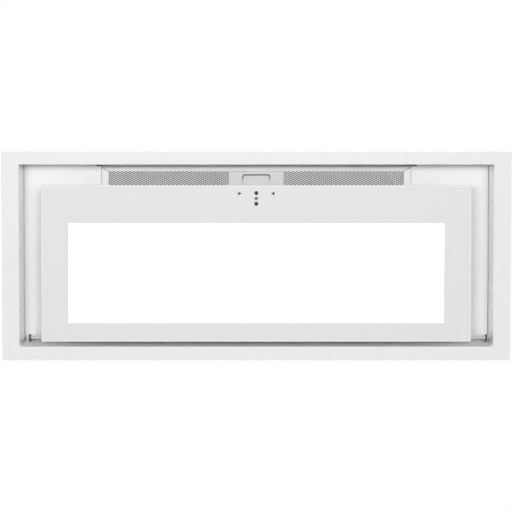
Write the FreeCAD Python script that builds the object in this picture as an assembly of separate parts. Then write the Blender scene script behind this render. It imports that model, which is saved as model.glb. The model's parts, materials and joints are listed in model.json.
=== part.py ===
import FreeCAD, Part
import math
import os

V = FreeCAD.Vector
X_AXIS = V(1, 0, 0)
Y_AXIS = V(0, 1, 0)
Z_AXIS = V(0, 0, 1)

# Built-in range hood, millimetres.
# X runs along the width, -Y is the cook's side, +Z is up.
# The origin is the middle of the flange on the plane that bears on the cabinet's underside.

# Trim frame
FRAME_W = 720.0
FRAME_D = 295.0
FLANGE_T = 2.0
FLANGE_SIDE = 24.5
FLANGE_FRONT = 18.0
FLANGE_REAR = 19.5
TRIM_T = 1.2
LIP_W = 8.0
FLANGE_EDGE_R = 0.7
FIX_HOLE_D = 4.5
FIX_SPACING = 140.0
FIX_HEIGHT = 9.0

# Base plate, the recessed floor round the filter
RECESS_H = 44.5
SHEET_T = 1.0
EDGE_GAP = 1.0
HINGE_STRIP = 12.5
POCKET_H = 6.0
APERTURE_FOLD_H = 12.0

# Hinge rail, the leaning wall behind the panel
RAIL_T = 1.2
RAIL_LEAN = 5.5
RAIL_FOOT_Z = 1.0
RAIL_END_GAP = 0.1

# Plenum and motor housing
PLENUM_H = 48.0
MOTOR_BOX_W = 330.0
MOTOR_BOX_D = 244.0
MOTOR_BOX_H = 168.0
MOTOR_FOOT_W = 14.0
PLENUM_RIM = 15.0
COVER_SKIRT = 10.0
RIVET_D = 4.0
RIVET_HEAD_D = 7.0
RIVET_HEAD_H = 1.2
RIVETS_PER_SIDE = 4
RIVET_PITCH = 65.0

# Screws
SCREW_D = 4.0
SCREW_HEAD_D = 8.0
SCREW_HEAD_H = 2.4
SCREW_SLOT_W = 1.0
SCREW_SLOT_DEPTH = 1.0
FOOT_SCREW_PITCH = 95.0
COVER_SCREW_PITCH = 220.0

# Panel and its light
PANEL_GAP_SIDE = 30.7
PANEL_GAP_FRONT = 29.0
PANEL_GAP_REAR = 6.5
GLASS_T = 4.0
GLASS_BEVEL = 1.2
GLASS_CORNER_R = 2.5
WINDOW_MARGIN_SIDE = 39.4
WINDOW_MARGIN_FRONT = 54.0
WINDOW_MARGIN_REAR = 27.2
WINDOW_GAP = 0.25
DIFFUSER_LEDGE = 6.0
DIFFUSER_T = 2.0
GUIDE_T = 3.0
REFLECTOR_T = 0.6
LED_BAR_T = 1.6
LED_T = 1.2
LED_W = 5.0
LED_COUNT = 36
TRAY_T = 1.0
TRAY_INSET = 6.0

# Gesture sensor behind the glass
SENSOR_SETBACK = 11.3
SENSOR_PITCH = 7.5
SENSOR_D = 5.4
INDICATOR_D = 4.8
SENSOR_GAP = 0.15
SENSOR_BODY_D = 4.0
SENSOR_BOARD_W = 84.0
SENSOR_BOARD_D = 34.0
SENSOR_BOARD_T = 1.6
ARROW_SETBACK = 11.9
ARROW_OFFSET = 23.2
ARROW_L = 5.0
ARROW_W = 5.6
ARROW_DEPTH = 0.3

# Panel hinge and catches
HINGE_SETBACK = 5.7
HINGE_RISE = 7.5
HINGE_PIN_D = 4.5
HINGE_CLEARANCE = 0.05
EAR_T = 2.4
EAR_GAP_LEFT = 15.6
EAR_GAP_RIGHT = 20.8
EAR_LUG_R = 4.4
EAR_STEM_W = 4.4
EAR_FOOT_L = 14.0
EAR_FOOT_T = 2.0
EAR_RAIL_GAP = 0.3
PIN_HEAD_D = 7.2
PIN_HEAD_H = 1.5
PIN_REACH = 14.0
BLOCK_W = 26.0
BLOCK_H = 9.0
BLOCK_EDGE = 1.5
BLOCK_TAB_L = 20.0
BLOCK_TAB_T = 2.0
HINGE_ROOM = 8.0
CATCH_INSET_SIDE = 34.25
CATCH_INSET_FRONT = 16.5
POST_D = 18.0
MAGNET_D = 12.0
MAGNET_H = 5.0
MAGNET_PROUD = 0.6
CATCH_GAP = 0.4
STRIKE_W = 26.0
STRIKE_T = 1.2

# Grease filter with its latch
FILTER_MARGIN_SIDE = 112.5
FILTER_MARGIN_REAR = 16.5
FILTER_T = 9.0
FILTER_GAP = 0.5
FILTER_FRONT_GAP = 2.5
FILTER_RAIL_W = 6.0
FILTER_STILE_W = 9.6
FILTER_RAIL_T = 0.8
MITRE_GAP = 0.3
FILTER_TAB_W = 30.0
FILTER_TAB_L = 9.0
FILTER_TAB_X = 120.0
MESH_T = 0.6
MESH_COLUMNS = 23
MESH_ROWS = 12
MESH_BORDER = 6.0
MESH_STRAND = 3.0
MESH_FIT = 0.2
PLEATS = 40
PLEAT_T = 0.6
HANDLE_W = 79.0
HANDLE_L = 62.0
HANDLE_SET_IN = 0.4
HANDLE_FRONT_GAP = 0.4
HANDLE_WALL = 1.8
CUP_W = 40.4
CUP_CORNER_R = 3.0
CUP_FRONT_WALL = 3.85
LATCH_SIDE_GAP = 0.4
LATCH_TOP_GAP = 0.2
LATCH_SET_IN = 2.5
LATCH_L = 25.5
LATCH_FRONT_GAP = 2.5
LATCH_TRAVEL = 3.5
LATCH_TONGUE_W = 32.0
LATCH_TONGUE_T = 1.8
LATCH_RIB_H = 2.0
LATCH_RIB_L = 3.0
TONGUE_CLEARANCE = 0.3
TONGUE_BITE = 1.4
KEEPER_T = 0.8
KEEPER_W = 40.0
KEEPER_H = 13.0
LEAF_T = 0.5
LEAF_SPAN = 30.0
LEAF_ROOM = 8.5

# Blower
FAN_Y = -20.0
FAN_RISE = 164.0
WHEEL_D = 140.0
WHEEL_W = 104.0
BLADE_DEPTH = 14.0
BLADE_T = 1.2
BLADE_SWEEP = 11.0
BLADE_COUNT = 36
WHEEL_RING_W = 5.0
WHEEL_RING_T = 2.0
WHEEL_DISC_T = 2.0
HUB_D = 24.0
HUB_L = 18.0
SHAFT_D = 8.0
SHAFT_CLEARANCE = 0.05
VOLUTE_GAP = 12.0
VOLUTE_STEP = 10.0
NECK_SETBACK = 22.0
SCROLL_W = 116.0
SCROLL_T = 2.0
SEAM_RIB = 6.0
SEAM_RIB_W = 6.0
NECK_RIB_H = 2.5
INLET_D = 116.0
INLET_LIP_T = 2.5
INLET_LIP_H = 6.0

# Motor
MOTOR_D = 88.0
BELL_L = 35.0
BELL_T = 2.0
BELL_SHAFT_GAP = 0.5
MOTOR_WHEEL_GAP = 6.0
STATOR_T = 15.0
STATOR_L = 40.0
AIR_GAP = 0.5
BEARING_D = 16.0
BEARING_L = 8.0
BEARING_SEAT_T = 3.0
SPIDER_T = 3.0
SPIDER_RIM = 8.0
SPIDER_ARM_W = 16.0
SPIDER_OVERLAP = 14.0
SPIDER_ARMS = 3
BUSH_D = 12.0
BUSH_L = 6.0
NUT_D = 14.0
NUT_H = 5.0
NUT_SIDES = 6

# Outlet collar with its two back-draught flaps
DUCT_D = 149.0
COLLAR_T = 2.5
COLLAR_H = 45.0
COLLAR_FLANGE_W = 152.0
COLLAR_FLANGE_T = 3.0
COLLAR_SCREW_INSET = 8.0
FLAP_RISE = 11.0
FLAP_T = 1.5
FLAP_GAP = 1.5
FLAP_SEAT_W = 4.0
FLAP_SEAT_T = 2.5
FLAP_SEAT_GAP = 0.1
FLAP_HINGE_GAP = 4.4
AXLE_D = 3.0
AXLE_CLEARANCE = 0.1
KNUCKLE_D = 6.8
KNUCKLE_L = 16.0
KNUCKLE_GAP = 1.0
KNUCKLE_X = 36.0

# Control box on the right wing of the plenum
CBOX_EDGE = 16.7
CBOX_D = 120.0
CBOX_H = 56.0
CBOX_T = 2.0
CBOX_OFFSET = 35.0
CBOX_Y = 10.0
CBOX_BOSS_D = 9.0
CBOX_BOSS_SINK = 1.0
BOARD_T = 1.6
BOARD_MARGIN = 12.0
STANDOFF_H = 6.0
STANDOFF_D = 7.0
CAPACITOR_D = 24.0
CAPACITOR_L = 52.0
TERMINAL_W = 32.0
TERMINAL_D = 16.0
TERMINAL_H = 14.0
TERMINAL_WAYS = 3
GLAND_D = 18.0
GLAND_BORE_D = 8.4
GLAND_L = 16.0
GLAND_NECK_D = 12.0
GLAND_X = 30.0
MOTOR_LEAD_D = 7.0
MOTOR_LEAD_DROP = 32.0
LEAD_GROMMET_D = 12.0
LEAD_GROMMET_T = 2.0

# Supply lead of the panel's light, a loop beside the hinge
PANEL_LEAD_D = 4.0
LEAD_SPACING = 6.0
LEAD_SETBACK = 9.8
LEAD_RUN = 10.0
CLIP_L = 14.0
CLIP_W = 10.0
CLIP_H = 9.0

# Levels and edges that follow from the sizes above
face_z = -FLANGE_T
open_x = FRAME_W / 2 - FLANGE_SIDE
open_front = -FRAME_D / 2 + FLANGE_FRONT
open_rear = FRAME_D / 2 - FLANGE_REAR
plate_z = RECESS_H + SHEET_T
lip_z = plate_z + TRIM_T
shell_x = open_x + TRIM_T
shell_front = open_front - TRIM_T
shell_rear = open_rear + TRIM_T
plate_x = open_x - EDGE_GAP
plate_front = open_front + EDGE_GAP
plate_rear = open_rear - HINGE_STRIP
lip_rear = plate_rear - SHEET_T - EDGE_GAP
pocket_z = RECESS_H + POCKET_H
rail_front = open_rear - RAIL_LEAN
plenum_z = lip_z + PLENUM_H
cover_z = plenum_z + MOTOR_BOX_H
roof_z = cover_z + SHEET_T

panel_x = open_x - PANEL_GAP_SIDE
panel_rear = open_rear - PANEL_GAP_REAR
panel_front = open_front + PANEL_GAP_FRONT
glass_z = face_z + GLASS_T
window_x = panel_x - WINDOW_MARGIN_SIDE
window_rear = panel_rear - WINDOW_MARGIN_REAR
window_front = panel_front + WINDOW_MARGIN_FRONT
guide_x = window_x + DIFFUSER_LEDGE
guide_front = window_front - DIFFUSER_LEDGE
guide_rear = window_rear + DIFFUSER_LEDGE
diffuser_z = glass_z + DIFFUSER_T
guide_z = diffuser_z + GUIDE_T
tray_floor_z = guide_z + REFLECTOR_T
tray_z = tray_floor_z + TRAY_T
hinge_y = panel_rear - HINGE_SETBACK
hinge_z = face_z + HINGE_RISE
tray_x = panel_x - TRAY_INSET
tray_front = panel_front + TRAY_INSET
tray_rear = hinge_y - HINGE_ROOM
ear_left = panel_x + EAR_GAP_LEFT
ear_right = panel_x + EAR_GAP_RIGHT
block_x = panel_x - BLOCK_EDGE
catch_x = panel_x - CATCH_INSET_SIDE
catch_y = panel_front + CATCH_INSET_FRONT

filter_x = open_x - FILTER_MARGIN_SIDE
filter_front = open_front + FILTER_FRONT_GAP
filter_rear = plate_rear - FILTER_MARGIN_REAR
filter_l = filter_rear - filter_front
filter_z = RECESS_H + FILTER_T
aperture_x = filter_x + FILTER_GAP
aperture_rear = filter_rear + FILTER_GAP
mesh_low_z = RECESS_H + FILTER_RAIL_T
core_low_z = mesh_low_z + MESH_T
mesh_top_z = filter_z - FILTER_RAIL_T
core_top_z = mesh_top_z - MESH_T
handle_front = filter_front + FILTER_RAIL_W + HANDLE_FRONT_GAP
handle_rear = handle_front + HANDLE_L
handle_z = RECESS_H + HANDLE_SET_IN
cup_front = handle_front + CUP_FRONT_WALL
cup_top_z = core_top_z - HANDLE_WALL
latch_front = cup_front + LATCH_FRONT_GAP
latch_rear = latch_front + LATCH_L
cup_rear = latch_rear + LATCH_TRAVEL + LEAF_ROOM
latch_low_z = handle_z + LATCH_SET_IN
latch_top_z = cup_top_z - LATCH_TOP_GAP
tongue_low_z = latch_top_z - LATCH_TONGUE_T
keeper_wall = shell_front + SHEET_T
keeper_tip = filter_front - TONGUE_CLEARANCE
tongue_tip = keeper_tip - TONGUE_BITE
keeper_z = tongue_low_z - TONGUE_CLEARANCE

wheel_r = WHEEL_D / 2
fan_centre = V(0, FAN_Y, FAN_RISE)
volute_r = wheel_r + VOLUTE_GAP
neck_rear = VOLUTE_STEP / 2 + volute_r + 2 * VOLUTE_STEP
collar_y = FAN_Y + (NECK_SETBACK + neck_rear) / 2
hub_end_x = WHEEL_DISC_T - HUB_L
bell_end_x = WHEEL_DISC_T + MOTOR_WHEEL_GAP
bell_split_x = bell_end_x + BELL_L
bell_out_x = bell_split_x + BELL_L
axle_z = roof_z + FLAP_RISE
collar_inner_r = DUCT_D / 2 - COLLAR_T
cbox_x = MOTOR_BOX_W / 2 + CBOX_OFFSET
cbox_w = shell_x - CBOX_EDGE - cbox_x
cbox_mid_x = cbox_x + cbox_w / 2
cbox_z = plenum_z + CBOX_H
board_z = plenum_z + CBOX_T + STANDOFF_H
gland_z = plenum_z + CBOX_H / 2
motor_lead_z = FAN_RISE - MOTOR_LEAD_DROP


def box(x, y, z):
    """Box between the low and high values given for each axis."""
    low = V(min(x), min(y), min(z))
    return Part.makeBox(abs(x[1] - x[0]), abs(y[1] - y[0]), abs(z[1] - z[0]), low)


def rod(diameter, start, axis, length):
    return Part.makeCylinder(diameter / 2, length, V(*start), axis)


def tube(outer, inner, start, axis, length):
    return rod(outer, start, axis, length).cut(rod(inner, start, axis, length))


def fuse(*shapes):
    return shapes[0].fuse(list(shapes[1:])).removeSplitter()


def polygon(points):
    return Part.Face(Part.makePolygon(points + points[:1]))


def prism_x(points, x):
    """Outline of (y, z) points drawn out along X."""
    return polygon([V(x[0], y, z) for y, z in points]).extrude(V(x[1] - x[0], 0, 0))


def prism_z(points, z):
    """Outline of (x, y) points drawn out along Z."""
    return polygon([V(x, y, z[0]) for x, y in points]).extrude(V(0, 0, z[1] - z[0]))


def mirrored(shape):
    return shape.mirror(V(0, 0, 0), X_AXIS)


def pair(shape):
    return Part.makeCompound([shape, mirrored(shape)])


def edges_at_z(shape, z):
    return [e for e in shape.Edges if max(abs(v.Z - z) for v in e.Vertexes) < 1e-6]


def upright_edges(shape):
    return [e for e in shape.Edges if abs(abs(e.tangentAt(e.FirstParameter).z) - 1) < 1e-6]


def screw(head, axis, grip):
    """Pan head screw: the head stands on the point given, the shank runs back along the axis."""
    head = V(*head)
    body = Part.makeCylinder(SCREW_HEAD_D / 2, SCREW_HEAD_H, head, axis)
    shank = Part.makeCylinder(SCREW_D / 2, grip, head, axis * -1)
    across = Y_AXIS if abs(axis.y) < 0.5 else X_AXIS
    slot = Part.makeBox(SCREW_SLOT_W, SCREW_HEAD_D, 2 * SCREW_SLOT_DEPTH)
    slot.translate(V(-SCREW_SLOT_W / 2, -SCREW_HEAD_D / 2, -SCREW_SLOT_DEPTH))
    slot.Placement = FreeCAD.Placement(
        head + axis * SCREW_HEAD_H, FreeCAD.Rotation(axis.cross(across), across, axis, "ZXY")
    ).multiply(slot.Placement)
    return body.fuse(shank).cut(slot)


# Where screws, rivets and fixing holes stand
def rivet_points():
    middle = (plate_front + plate_rear) / 2
    first = middle - RIVET_PITCH * (RIVETS_PER_SIDE - 1) / 2
    x = open_x - LIP_W / 2
    return [(side * x, first + i * RIVET_PITCH) for side in (-1, 1) for i in range(RIVETS_PER_SIDE)]


def foot_screw_points():
    x = MOTOR_BOX_W / 2 + MOTOR_FOOT_W / 2
    return [(side * x, step * FOOT_SCREW_PITCH) for side in (-1, 1) for step in (-1, 0, 1)]


def cover_screw_points():
    z = cover_z - COVER_SKIRT / 2
    x = MOTOR_BOX_W / 2 + SHEET_T
    return [(side * x, end * COVER_SCREW_PITCH / 2, z) for side in (-1, 1) for end in (-1, 1)]


def cover_screw_holes(reach):
    """Holes right across the housing, one for each pair of cover screws."""
    right = [(y, z) for x, y, z in cover_screw_points() if x > 0]
    return [rod(SCREW_D, (-reach, y, z), X_AXIS, 2 * reach) for y, z in right]


def collar_screw_points():
    step = COLLAR_FLANGE_W / 2 - COLLAR_SCREW_INSET
    return [(i * step, collar_y + j * step) for i in (-1, 1) for j in (-1, 1)]


def cbox_screw_points():
    inset = CBOX_T + CBOX_BOSS_D / 2 - CBOX_BOSS_SINK
    step_x = cbox_w / 2 - inset
    step_y = CBOX_D / 2 - inset
    return [(cbox_mid_x + i * step_x, CBOX_Y + j * step_y) for i in (-1, 1) for j in (-1, 1)]


def holes_z(points, diameter, z):
    return [rod(diameter, (x, y, z[0]), Z_AXIS, z[1] - z[0]) for x, y in points]


# Housing: sheet metal
def trim_frame():
    opening = box((-open_x, open_x), (open_front, open_rear), (face_z, lip_z))
    flange = box((-FRAME_W / 2, FRAME_W / 2), (-FRAME_D / 2, FRAME_D / 2), (face_z, 0))
    upstand = box((-shell_x, shell_x), (shell_front, shell_rear), (0, lip_z))
    frame = flange.fuse(upstand).cut(opening).removeSplitter()
    frame = frame.makeFillet(FLANGE_EDGE_R, edges_at_z(frame, face_z))
    side_lip = box((plate_x - LIP_W, shell_x), (open_front, lip_rear), (plate_z, lip_z))
    front_lip = box((aperture_x + LIP_W, shell_x), (shell_front, open_front + LIP_W), (plate_z, lip_z))
    corner = side_lip.fuse(front_lip)
    frame = fuse(frame, corner, mirrored(corner))
    fixings = [
        rod(FIX_HOLE_D, (-shell_x, end * FIX_SPACING / 2, FIX_HEIGHT), X_AXIS, 2 * shell_x)
        for end in (-1, 1)
    ]
    return frame.cut(fixings + holes_z(rivet_points(), RIVET_D, (plate_z, lip_z)))


def plenum_shell():
    outer = box((-shell_x, shell_x), (shell_front, shell_rear), (lip_z, plenum_z))
    inner_x = shell_x - SHEET_T
    inner_y = (shell_front + SHEET_T, shell_rear - SHEET_T)
    inner = box((-inner_x, inner_x), inner_y, (lip_z, plenum_z - SHEET_T))
    mouth_x = MOTOR_BOX_W / 2 - PLENUM_RIM
    mouth_y = MOTOR_BOX_D / 2 - PLENUM_RIM
    mouth = box((-mouth_x, mouth_x), (-mouth_y, mouth_y), (lip_z, plenum_z))
    flange_z = (lip_z, lip_z + SHEET_T)
    side = box((plate_x - LIP_W, shell_x), (shell_front, lip_rear), flange_z)
    front = box((aperture_x + LIP_W, shell_x), (shell_front, open_front + LIP_W), flange_z)
    flange = side.fuse(front)
    shell = fuse(outer.cut(inner).cut(mouth), flange, mirrored(flange))
    top = (plenum_z - SHEET_T, plenum_z)
    screws = holes_z(foot_screw_points(), SCREW_D, top) + holes_z(cbox_screw_points(), SCREW_D, top)
    return shell.cut(screws + holes_z(rivet_points(), RIVET_D, flange_z))


def base_plate():
    plate = box((-plate_x, plate_x), (plate_front, plate_rear), (RECESS_H, plate_z))
    mouth = box((-aperture_x, aperture_x), (plate_front, aperture_rear), (RECESS_H, plate_z))
    fold_z = (RECESS_H, RECESS_H + APERTURE_FOLD_H)
    fold = box((aperture_x, aperture_x + SHEET_T), (plate_front, aperture_rear), fold_z)
    back = box((-plate_x, plate_x), (plate_rear - SHEET_T, plate_rear), (RECESS_H, pocket_z))
    roof = box((-plate_x, plate_x), (plate_rear - SHEET_T, rail_front), (pocket_z - SHEET_T, pocket_z))
    return fuse(plate.cut(mouth), fold, mirrored(fold), back, roof)


def hinge_rail():
    wall = shell_rear - SHEET_T
    lean_rise = RECESS_H - RAIL_FOOT_Z
    foot_top = RAIL_FOOT_Z + lean_rise * RAIL_T / RAIL_LEAN
    outline = [
        (open_rear, RAIL_FOOT_Z),
        (rail_front, RECESS_H),
        (rail_front, pocket_z),
        (wall, pocket_z),
        (wall, pocket_z - RAIL_T),
        (rail_front + RAIL_T, pocket_z - RAIL_T),
        (rail_front + RAIL_T, RECESS_H),
        (open_rear, foot_top),
    ]
    half = open_x - RAIL_END_GAP
    return prism_x(outline, (-half, half))


def rivets():
    z = lip_z + SHEET_T
    shank = z - plate_z
    return Part.makeCompound([
        rod(RIVET_D, (x, y, plate_z), Z_AXIS, shank).fuse(rod(RIVET_HEAD_D, (x, y, z), Z_AXIS, RIVET_HEAD_H))
        for x, y in rivet_points()
    ])


def motor_housing():
    half_x = MOTOR_BOX_W / 2
    half_y = MOTOR_BOX_D / 2
    room_x = half_x - SHEET_T
    room_y = half_y - SHEET_T
    outer = box((-half_x, half_x), (-half_y, half_y), (plenum_z, cover_z))
    inner = box((-room_x, room_x), (-room_y, room_y), (plenum_z, cover_z))
    foot_z = (plenum_z, plenum_z + SHEET_T)
    foot = box((room_x, half_x + MOTOR_FOOT_W), (-half_y, half_y), foot_z)
    shell = fuse(outer.cut(inner), foot, mirrored(foot))
    lead_hole = rod(MOTOR_LEAD_D, (room_x, FAN_Y, motor_lead_z), X_AXIS, SHEET_T)
    foot_holes = holes_z(foot_screw_points(), SCREW_D, foot_z)
    return shell.cut(foot_holes + cover_screw_holes(half_x) + [lead_hole])


def motor_cover():
    half_x = MOTOR_BOX_W / 2
    half_y = MOTOR_BOX_D / 2
    outer = box(
        (-half_x - SHEET_T, half_x + SHEET_T),
        (-half_y - SHEET_T, half_y + SHEET_T),
        (cover_z - COVER_SKIRT, roof_z),
    )
    inner = box((-half_x, half_x), (-half_y, half_y), (cover_z - COVER_SKIRT, cover_z))
    mouth = box((-SCROLL_W / 2, SCROLL_W / 2), (FAN_Y + NECK_SETBACK, FAN_Y + neck_rear), (cover_z, roof_z))
    roof_holes = holes_z(collar_screw_points(), SCREW_D, (cover_z, roof_z))
    return outer.cut(inner).cut([mouth] + cover_screw_holes(half_x + SHEET_T) + roof_holes)


def sheet_screws():
    """Screws of the housing's feet, its cover, the outlet collar and the motor's spider."""
    feet = [screw((x, y, plenum_z + SHEET_T), Z_AXIS, 2 * SHEET_T) for x, y in foot_screw_points()]
    covers = [
        screw((x, y, z), X_AXIS * math.copysign(1, x), 2 * SHEET_T)
        for x, y, z in cover_screw_points()
    ]
    collar_z = roof_z + COLLAR_FLANGE_T
    collars = [screw((x, y, collar_z), Z_AXIS, COLLAR_FLANGE_T + SHEET_T) for x, y in collar_screw_points()]
    grip = SPIDER_T + BUSH_L + SCROLL_T
    spiders = [screw((spider_x + SPIDER_T, y, z), X_AXIS, grip) for y, z in spider_spots()]
    return Part.makeCompound(feet + covers + collars + spiders)


# Panel hinge on the housing side
def hinge_ear(ear_x):
    stem_rear = rail_front - EAR_RAIL_GAP
    stem_front = stem_rear - EAR_STEM_W
    roof = pocket_z - SHEET_T
    x = (ear_x, ear_x + EAR_T)
    lug = rod(2 * EAR_LUG_R, (ear_x, hinge_y, hinge_z), X_AXIS, EAR_T)
    outline = [
        (hinge_y, hinge_z),
        (stem_rear, hinge_z),
        (stem_rear, roof),
        (stem_front, roof),
        (stem_front, RECESS_H / 2),
    ]
    stem = prism_x(outline, x)
    foot = box((ear_x - EAR_FOOT_L, ear_x + EAR_T), (stem_front, stem_rear), (roof - EAR_FOOT_T, roof))
    bore = rod(HINGE_PIN_D, (ear_x, hinge_y, hinge_z), X_AXIS, EAR_T)
    return fuse(lug, stem, foot).cut(bore)


def hinge_pin(ear_x):
    inner_x = block_x - PIN_REACH
    shank = rod(HINGE_PIN_D, (inner_x, hinge_y, hinge_z), X_AXIS, ear_x + EAR_T - inner_x)
    head = rod(PIN_HEAD_D, (ear_x + EAR_T, hinge_y, hinge_z), X_AXIS, PIN_HEAD_H)
    return shank.fuse(head)


def catch_post():
    foot_z = tray_z + STRIKE_T + CATCH_GAP + MAGNET_PROUD
    post = rod(POST_D, (catch_x, catch_y, foot_z), Z_AXIS, RECESS_H - foot_z)
    return post.cut(rod(MAGNET_D, (catch_x, catch_y, foot_z), Z_AXIS, MAGNET_H))


def catch_magnet():
    low_z = tray_z + STRIKE_T + CATCH_GAP
    return rod(MAGNET_D, (catch_x, catch_y, low_z), Z_AXIS, MAGNET_H + MAGNET_PROUD)


# Panel
def sensor_spots():
    first = panel_front + SENSOR_SETBACK
    return [(first, SENSOR_D), (first + SENSOR_PITCH, INDICATOR_D), (first + 2 * SENSOR_PITCH, SENSOR_D)]


def sensor_lens(y, diameter):
    return rod(diameter, (0, y, face_z), Z_AXIS, GLASS_T)


def arrow_mark():
    base_x = ARROW_OFFSET + ARROW_L / 2
    tip_x = ARROW_OFFSET - ARROW_L / 2
    y = panel_front + ARROW_SETBACK
    half = ARROW_W / 2
    return prism_z([(base_x, y - half), (base_x, y + half), (tip_x, y)], (face_z, face_z + ARROW_DEPTH))


def glass_panel():
    glass = box((-panel_x, panel_x), (panel_front, panel_rear), (face_z, glass_z))
    glass = glass.makeFillet(GLASS_CORNER_R, upright_edges(glass))
    glass = glass.makeChamfer(GLASS_BEVEL, edges_at_z(glass, face_z))
    window = box((-window_x, window_x), (window_front, window_rear), (face_z, glass_z))
    spots = [sensor_lens(y, d + 2 * SENSOR_GAP) for y, d in sensor_spots()]
    return glass.cut([window] + spots + [arrow_mark(), mirrored(arrow_mark())])


def light_window():
    pad_x = window_x - WINDOW_GAP
    pad = box((-pad_x, pad_x), (window_front + WINDOW_GAP, window_rear - WINDOW_GAP), (face_z, glass_z))
    ledge = box((-guide_x, guide_x), (guide_front, guide_rear), (glass_z, diffuser_z))
    return fuse(pad, ledge)


def guide_sheet(low, high):
    return box((-guide_x, guide_x), (guide_front, guide_rear), (low, high))


def led_strip(edge, outward):
    """Bar of light-emitting diodes along one long edge of the light guide."""
    lamp_edge = edge + outward * LED_T
    bar = box((-guide_x, guide_x), (lamp_edge, lamp_edge + outward * LED_BAR_T), (glass_z, tray_floor_z))
    pitch = 2 * guide_x / LED_COUNT
    lamps = [
        box((x - LED_W / 2, x + LED_W / 2), (edge, lamp_edge), (diffuser_z, guide_z))
        for x in (-guide_x + (i + 0.5) * pitch for i in range(LED_COUNT))
    ]
    return fuse(bar, *lamps)


def panel_tray():
    outer = box((-tray_x, tray_x), (tray_front, tray_rear), (glass_z, tray_z))
    room_x = tray_x - TRAY_T
    inner = box((-room_x, room_x), (tray_front + TRAY_T, tray_rear - TRAY_T), (glass_z, tray_floor_z))
    return outer.cut(inner)


def sensor_board():
    low_z = tray_floor_z - SENSOR_BOARD_T
    front = tray_front + TRAY_T
    half = SENSOR_BOARD_W / 2
    board = box((-half, half), (front, front + SENSOR_BOARD_D), (low_z, tray_floor_z))
    bodies = [rod(SENSOR_BODY_D, (0, y, glass_z), Z_AXIS, low_z - glass_z) for y, d in sensor_spots()]
    return fuse(board, *bodies)


def hinge_block():
    body_y = (tray_rear, panel_rear - BLOCK_EDGE)
    body = box((block_x - BLOCK_W, block_x), body_y, (glass_z, glass_z + BLOCK_H))
    tab_y = (tray_rear - BLOCK_TAB_L, tray_rear)
    tab = box((tray_x - BLOCK_W, tray_x), tab_y, (tray_z, tray_z + BLOCK_TAB_T))
    bore_d = HINGE_PIN_D + 2 * HINGE_CLEARANCE
    bore_l = PIN_REACH + HINGE_CLEARANCE
    bore = rod(bore_d, (block_x - bore_l, hinge_y, hinge_z), X_AXIS, bore_l)
    return fuse(body, tab).cut(bore)


def strike_plate():
    half = STRIKE_W / 2
    y = (catch_y - half, catch_y + half)
    return box((catch_x - half, catch_x + half), y, (tray_z, tray_z + STRIKE_T))


# Supply lead of the panel
lead_x = BLOCK_W - tray_x + LEAD_SPACING + CLIP_L
lead_y = tray_rear - LEAD_SETBACK
clip_low_z = tray_z + CLIP_H / 2
clip_high_z = RECESS_H - CLIP_H / 2
loop_r = (clip_high_z - clip_low_z) / 2


def lead_clip(z):
    x = (lead_x - CLIP_L, lead_x)
    y = (lead_y - CLIP_W / 2, lead_y + CLIP_W / 2)
    return box(x, y, (z - CLIP_H / 2, z + CLIP_H / 2))


def panel_lead():
    bend_x = lead_x + LEAD_RUN
    corners = [
        V(lead_x, lead_y, clip_high_z),
        V(bend_x, lead_y, clip_high_z),
        V(bend_x, lead_y, clip_low_z),
        V(lead_x, lead_y, clip_low_z),
    ]
    crest = V(bend_x + loop_r, lead_y, (clip_high_z + clip_low_z) / 2)
    path = Part.Wire([
        Part.LineSegment(corners[0], corners[1]).toShape(),
        Part.Arc(corners[1], crest, corners[2]).toShape(),
        Part.LineSegment(corners[2], corners[3]).toShape(),
    ])
    section = Part.Wire(Part.makeCircle(PANEL_LEAD_D / 2, corners[0], X_AXIS))
    return path.makePipeShell([section], True, False)


# Grease filter
def filter_frame():
    outer = box((-filter_x, filter_x), (filter_front, filter_rear), (RECESS_H, filter_z))
    eye_x = filter_x - FILTER_STILE_W
    eye_y = (filter_front + FILTER_RAIL_W, filter_rear - FILTER_RAIL_W)
    eye = box((-eye_x, eye_x), eye_y, (RECESS_H, filter_z))
    slot_x = filter_x - FILTER_RAIL_T
    slot_y = (filter_front + FILTER_RAIL_T, filter_rear - FILTER_RAIL_T)
    slot = box((-slot_x, slot_x), slot_y, (mesh_low_z, mesh_top_z))
    tongue_half = LATCH_TONGUE_W / 2 + TONGUE_CLEARANCE
    tongue_slot = box(
        (-tongue_half, tongue_half),
        (filter_front, filter_front + FILTER_RAIL_T),
        (tongue_low_z - TONGUE_CLEARANCE, latch_top_z + TONGUE_CLEARANCE),
    )
    ring = outer.cut([eye, slot, tongue_slot])
    gap = MITRE_GAP / 2
    z = (RECESS_H, filter_z)
    stile = [
        (-filter_x, filter_front + gap),
        (-eye_x, eye_y[0] + gap),
        (-eye_x, eye_y[1] - gap),
        (-filter_x, filter_rear - gap),
    ]
    left = ring.common(prism_z(stile, z))
    end_x = filter_x - gap * FILTER_STILE_W / FILTER_RAIL_W
    front_side = [
        (-end_x, filter_front),
        (end_x, filter_front),
        (eye_x, eye_y[0] - gap),
        (eye_x, eye_y[0]),
        (-eye_x, eye_y[0]),
        (-eye_x, eye_y[0] - gap),
    ]
    front = ring.common(prism_z(front_side, z))
    rear_side = [(x, filter_front + filter_rear - y) for x, y in front_side]
    tab = box(
        (FILTER_TAB_X - FILTER_TAB_W / 2, FILTER_TAB_X + FILTER_TAB_W / 2),
        (filter_rear - FILTER_RAIL_T, filter_rear + FILTER_TAB_L),
        (plate_z, plate_z + SHEET_T),
    )
    rear = fuse(ring.common(prism_z(rear_side, z)), tab, mirrored(tab))
    return Part.makeCompound([left, mirrored(left), front, rear])


def handle_room(z):
    x = HANDLE_W / 2 + MESH_FIT
    return box((-x, x), (filter_front, handle_rear + MESH_FIT), z)


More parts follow.
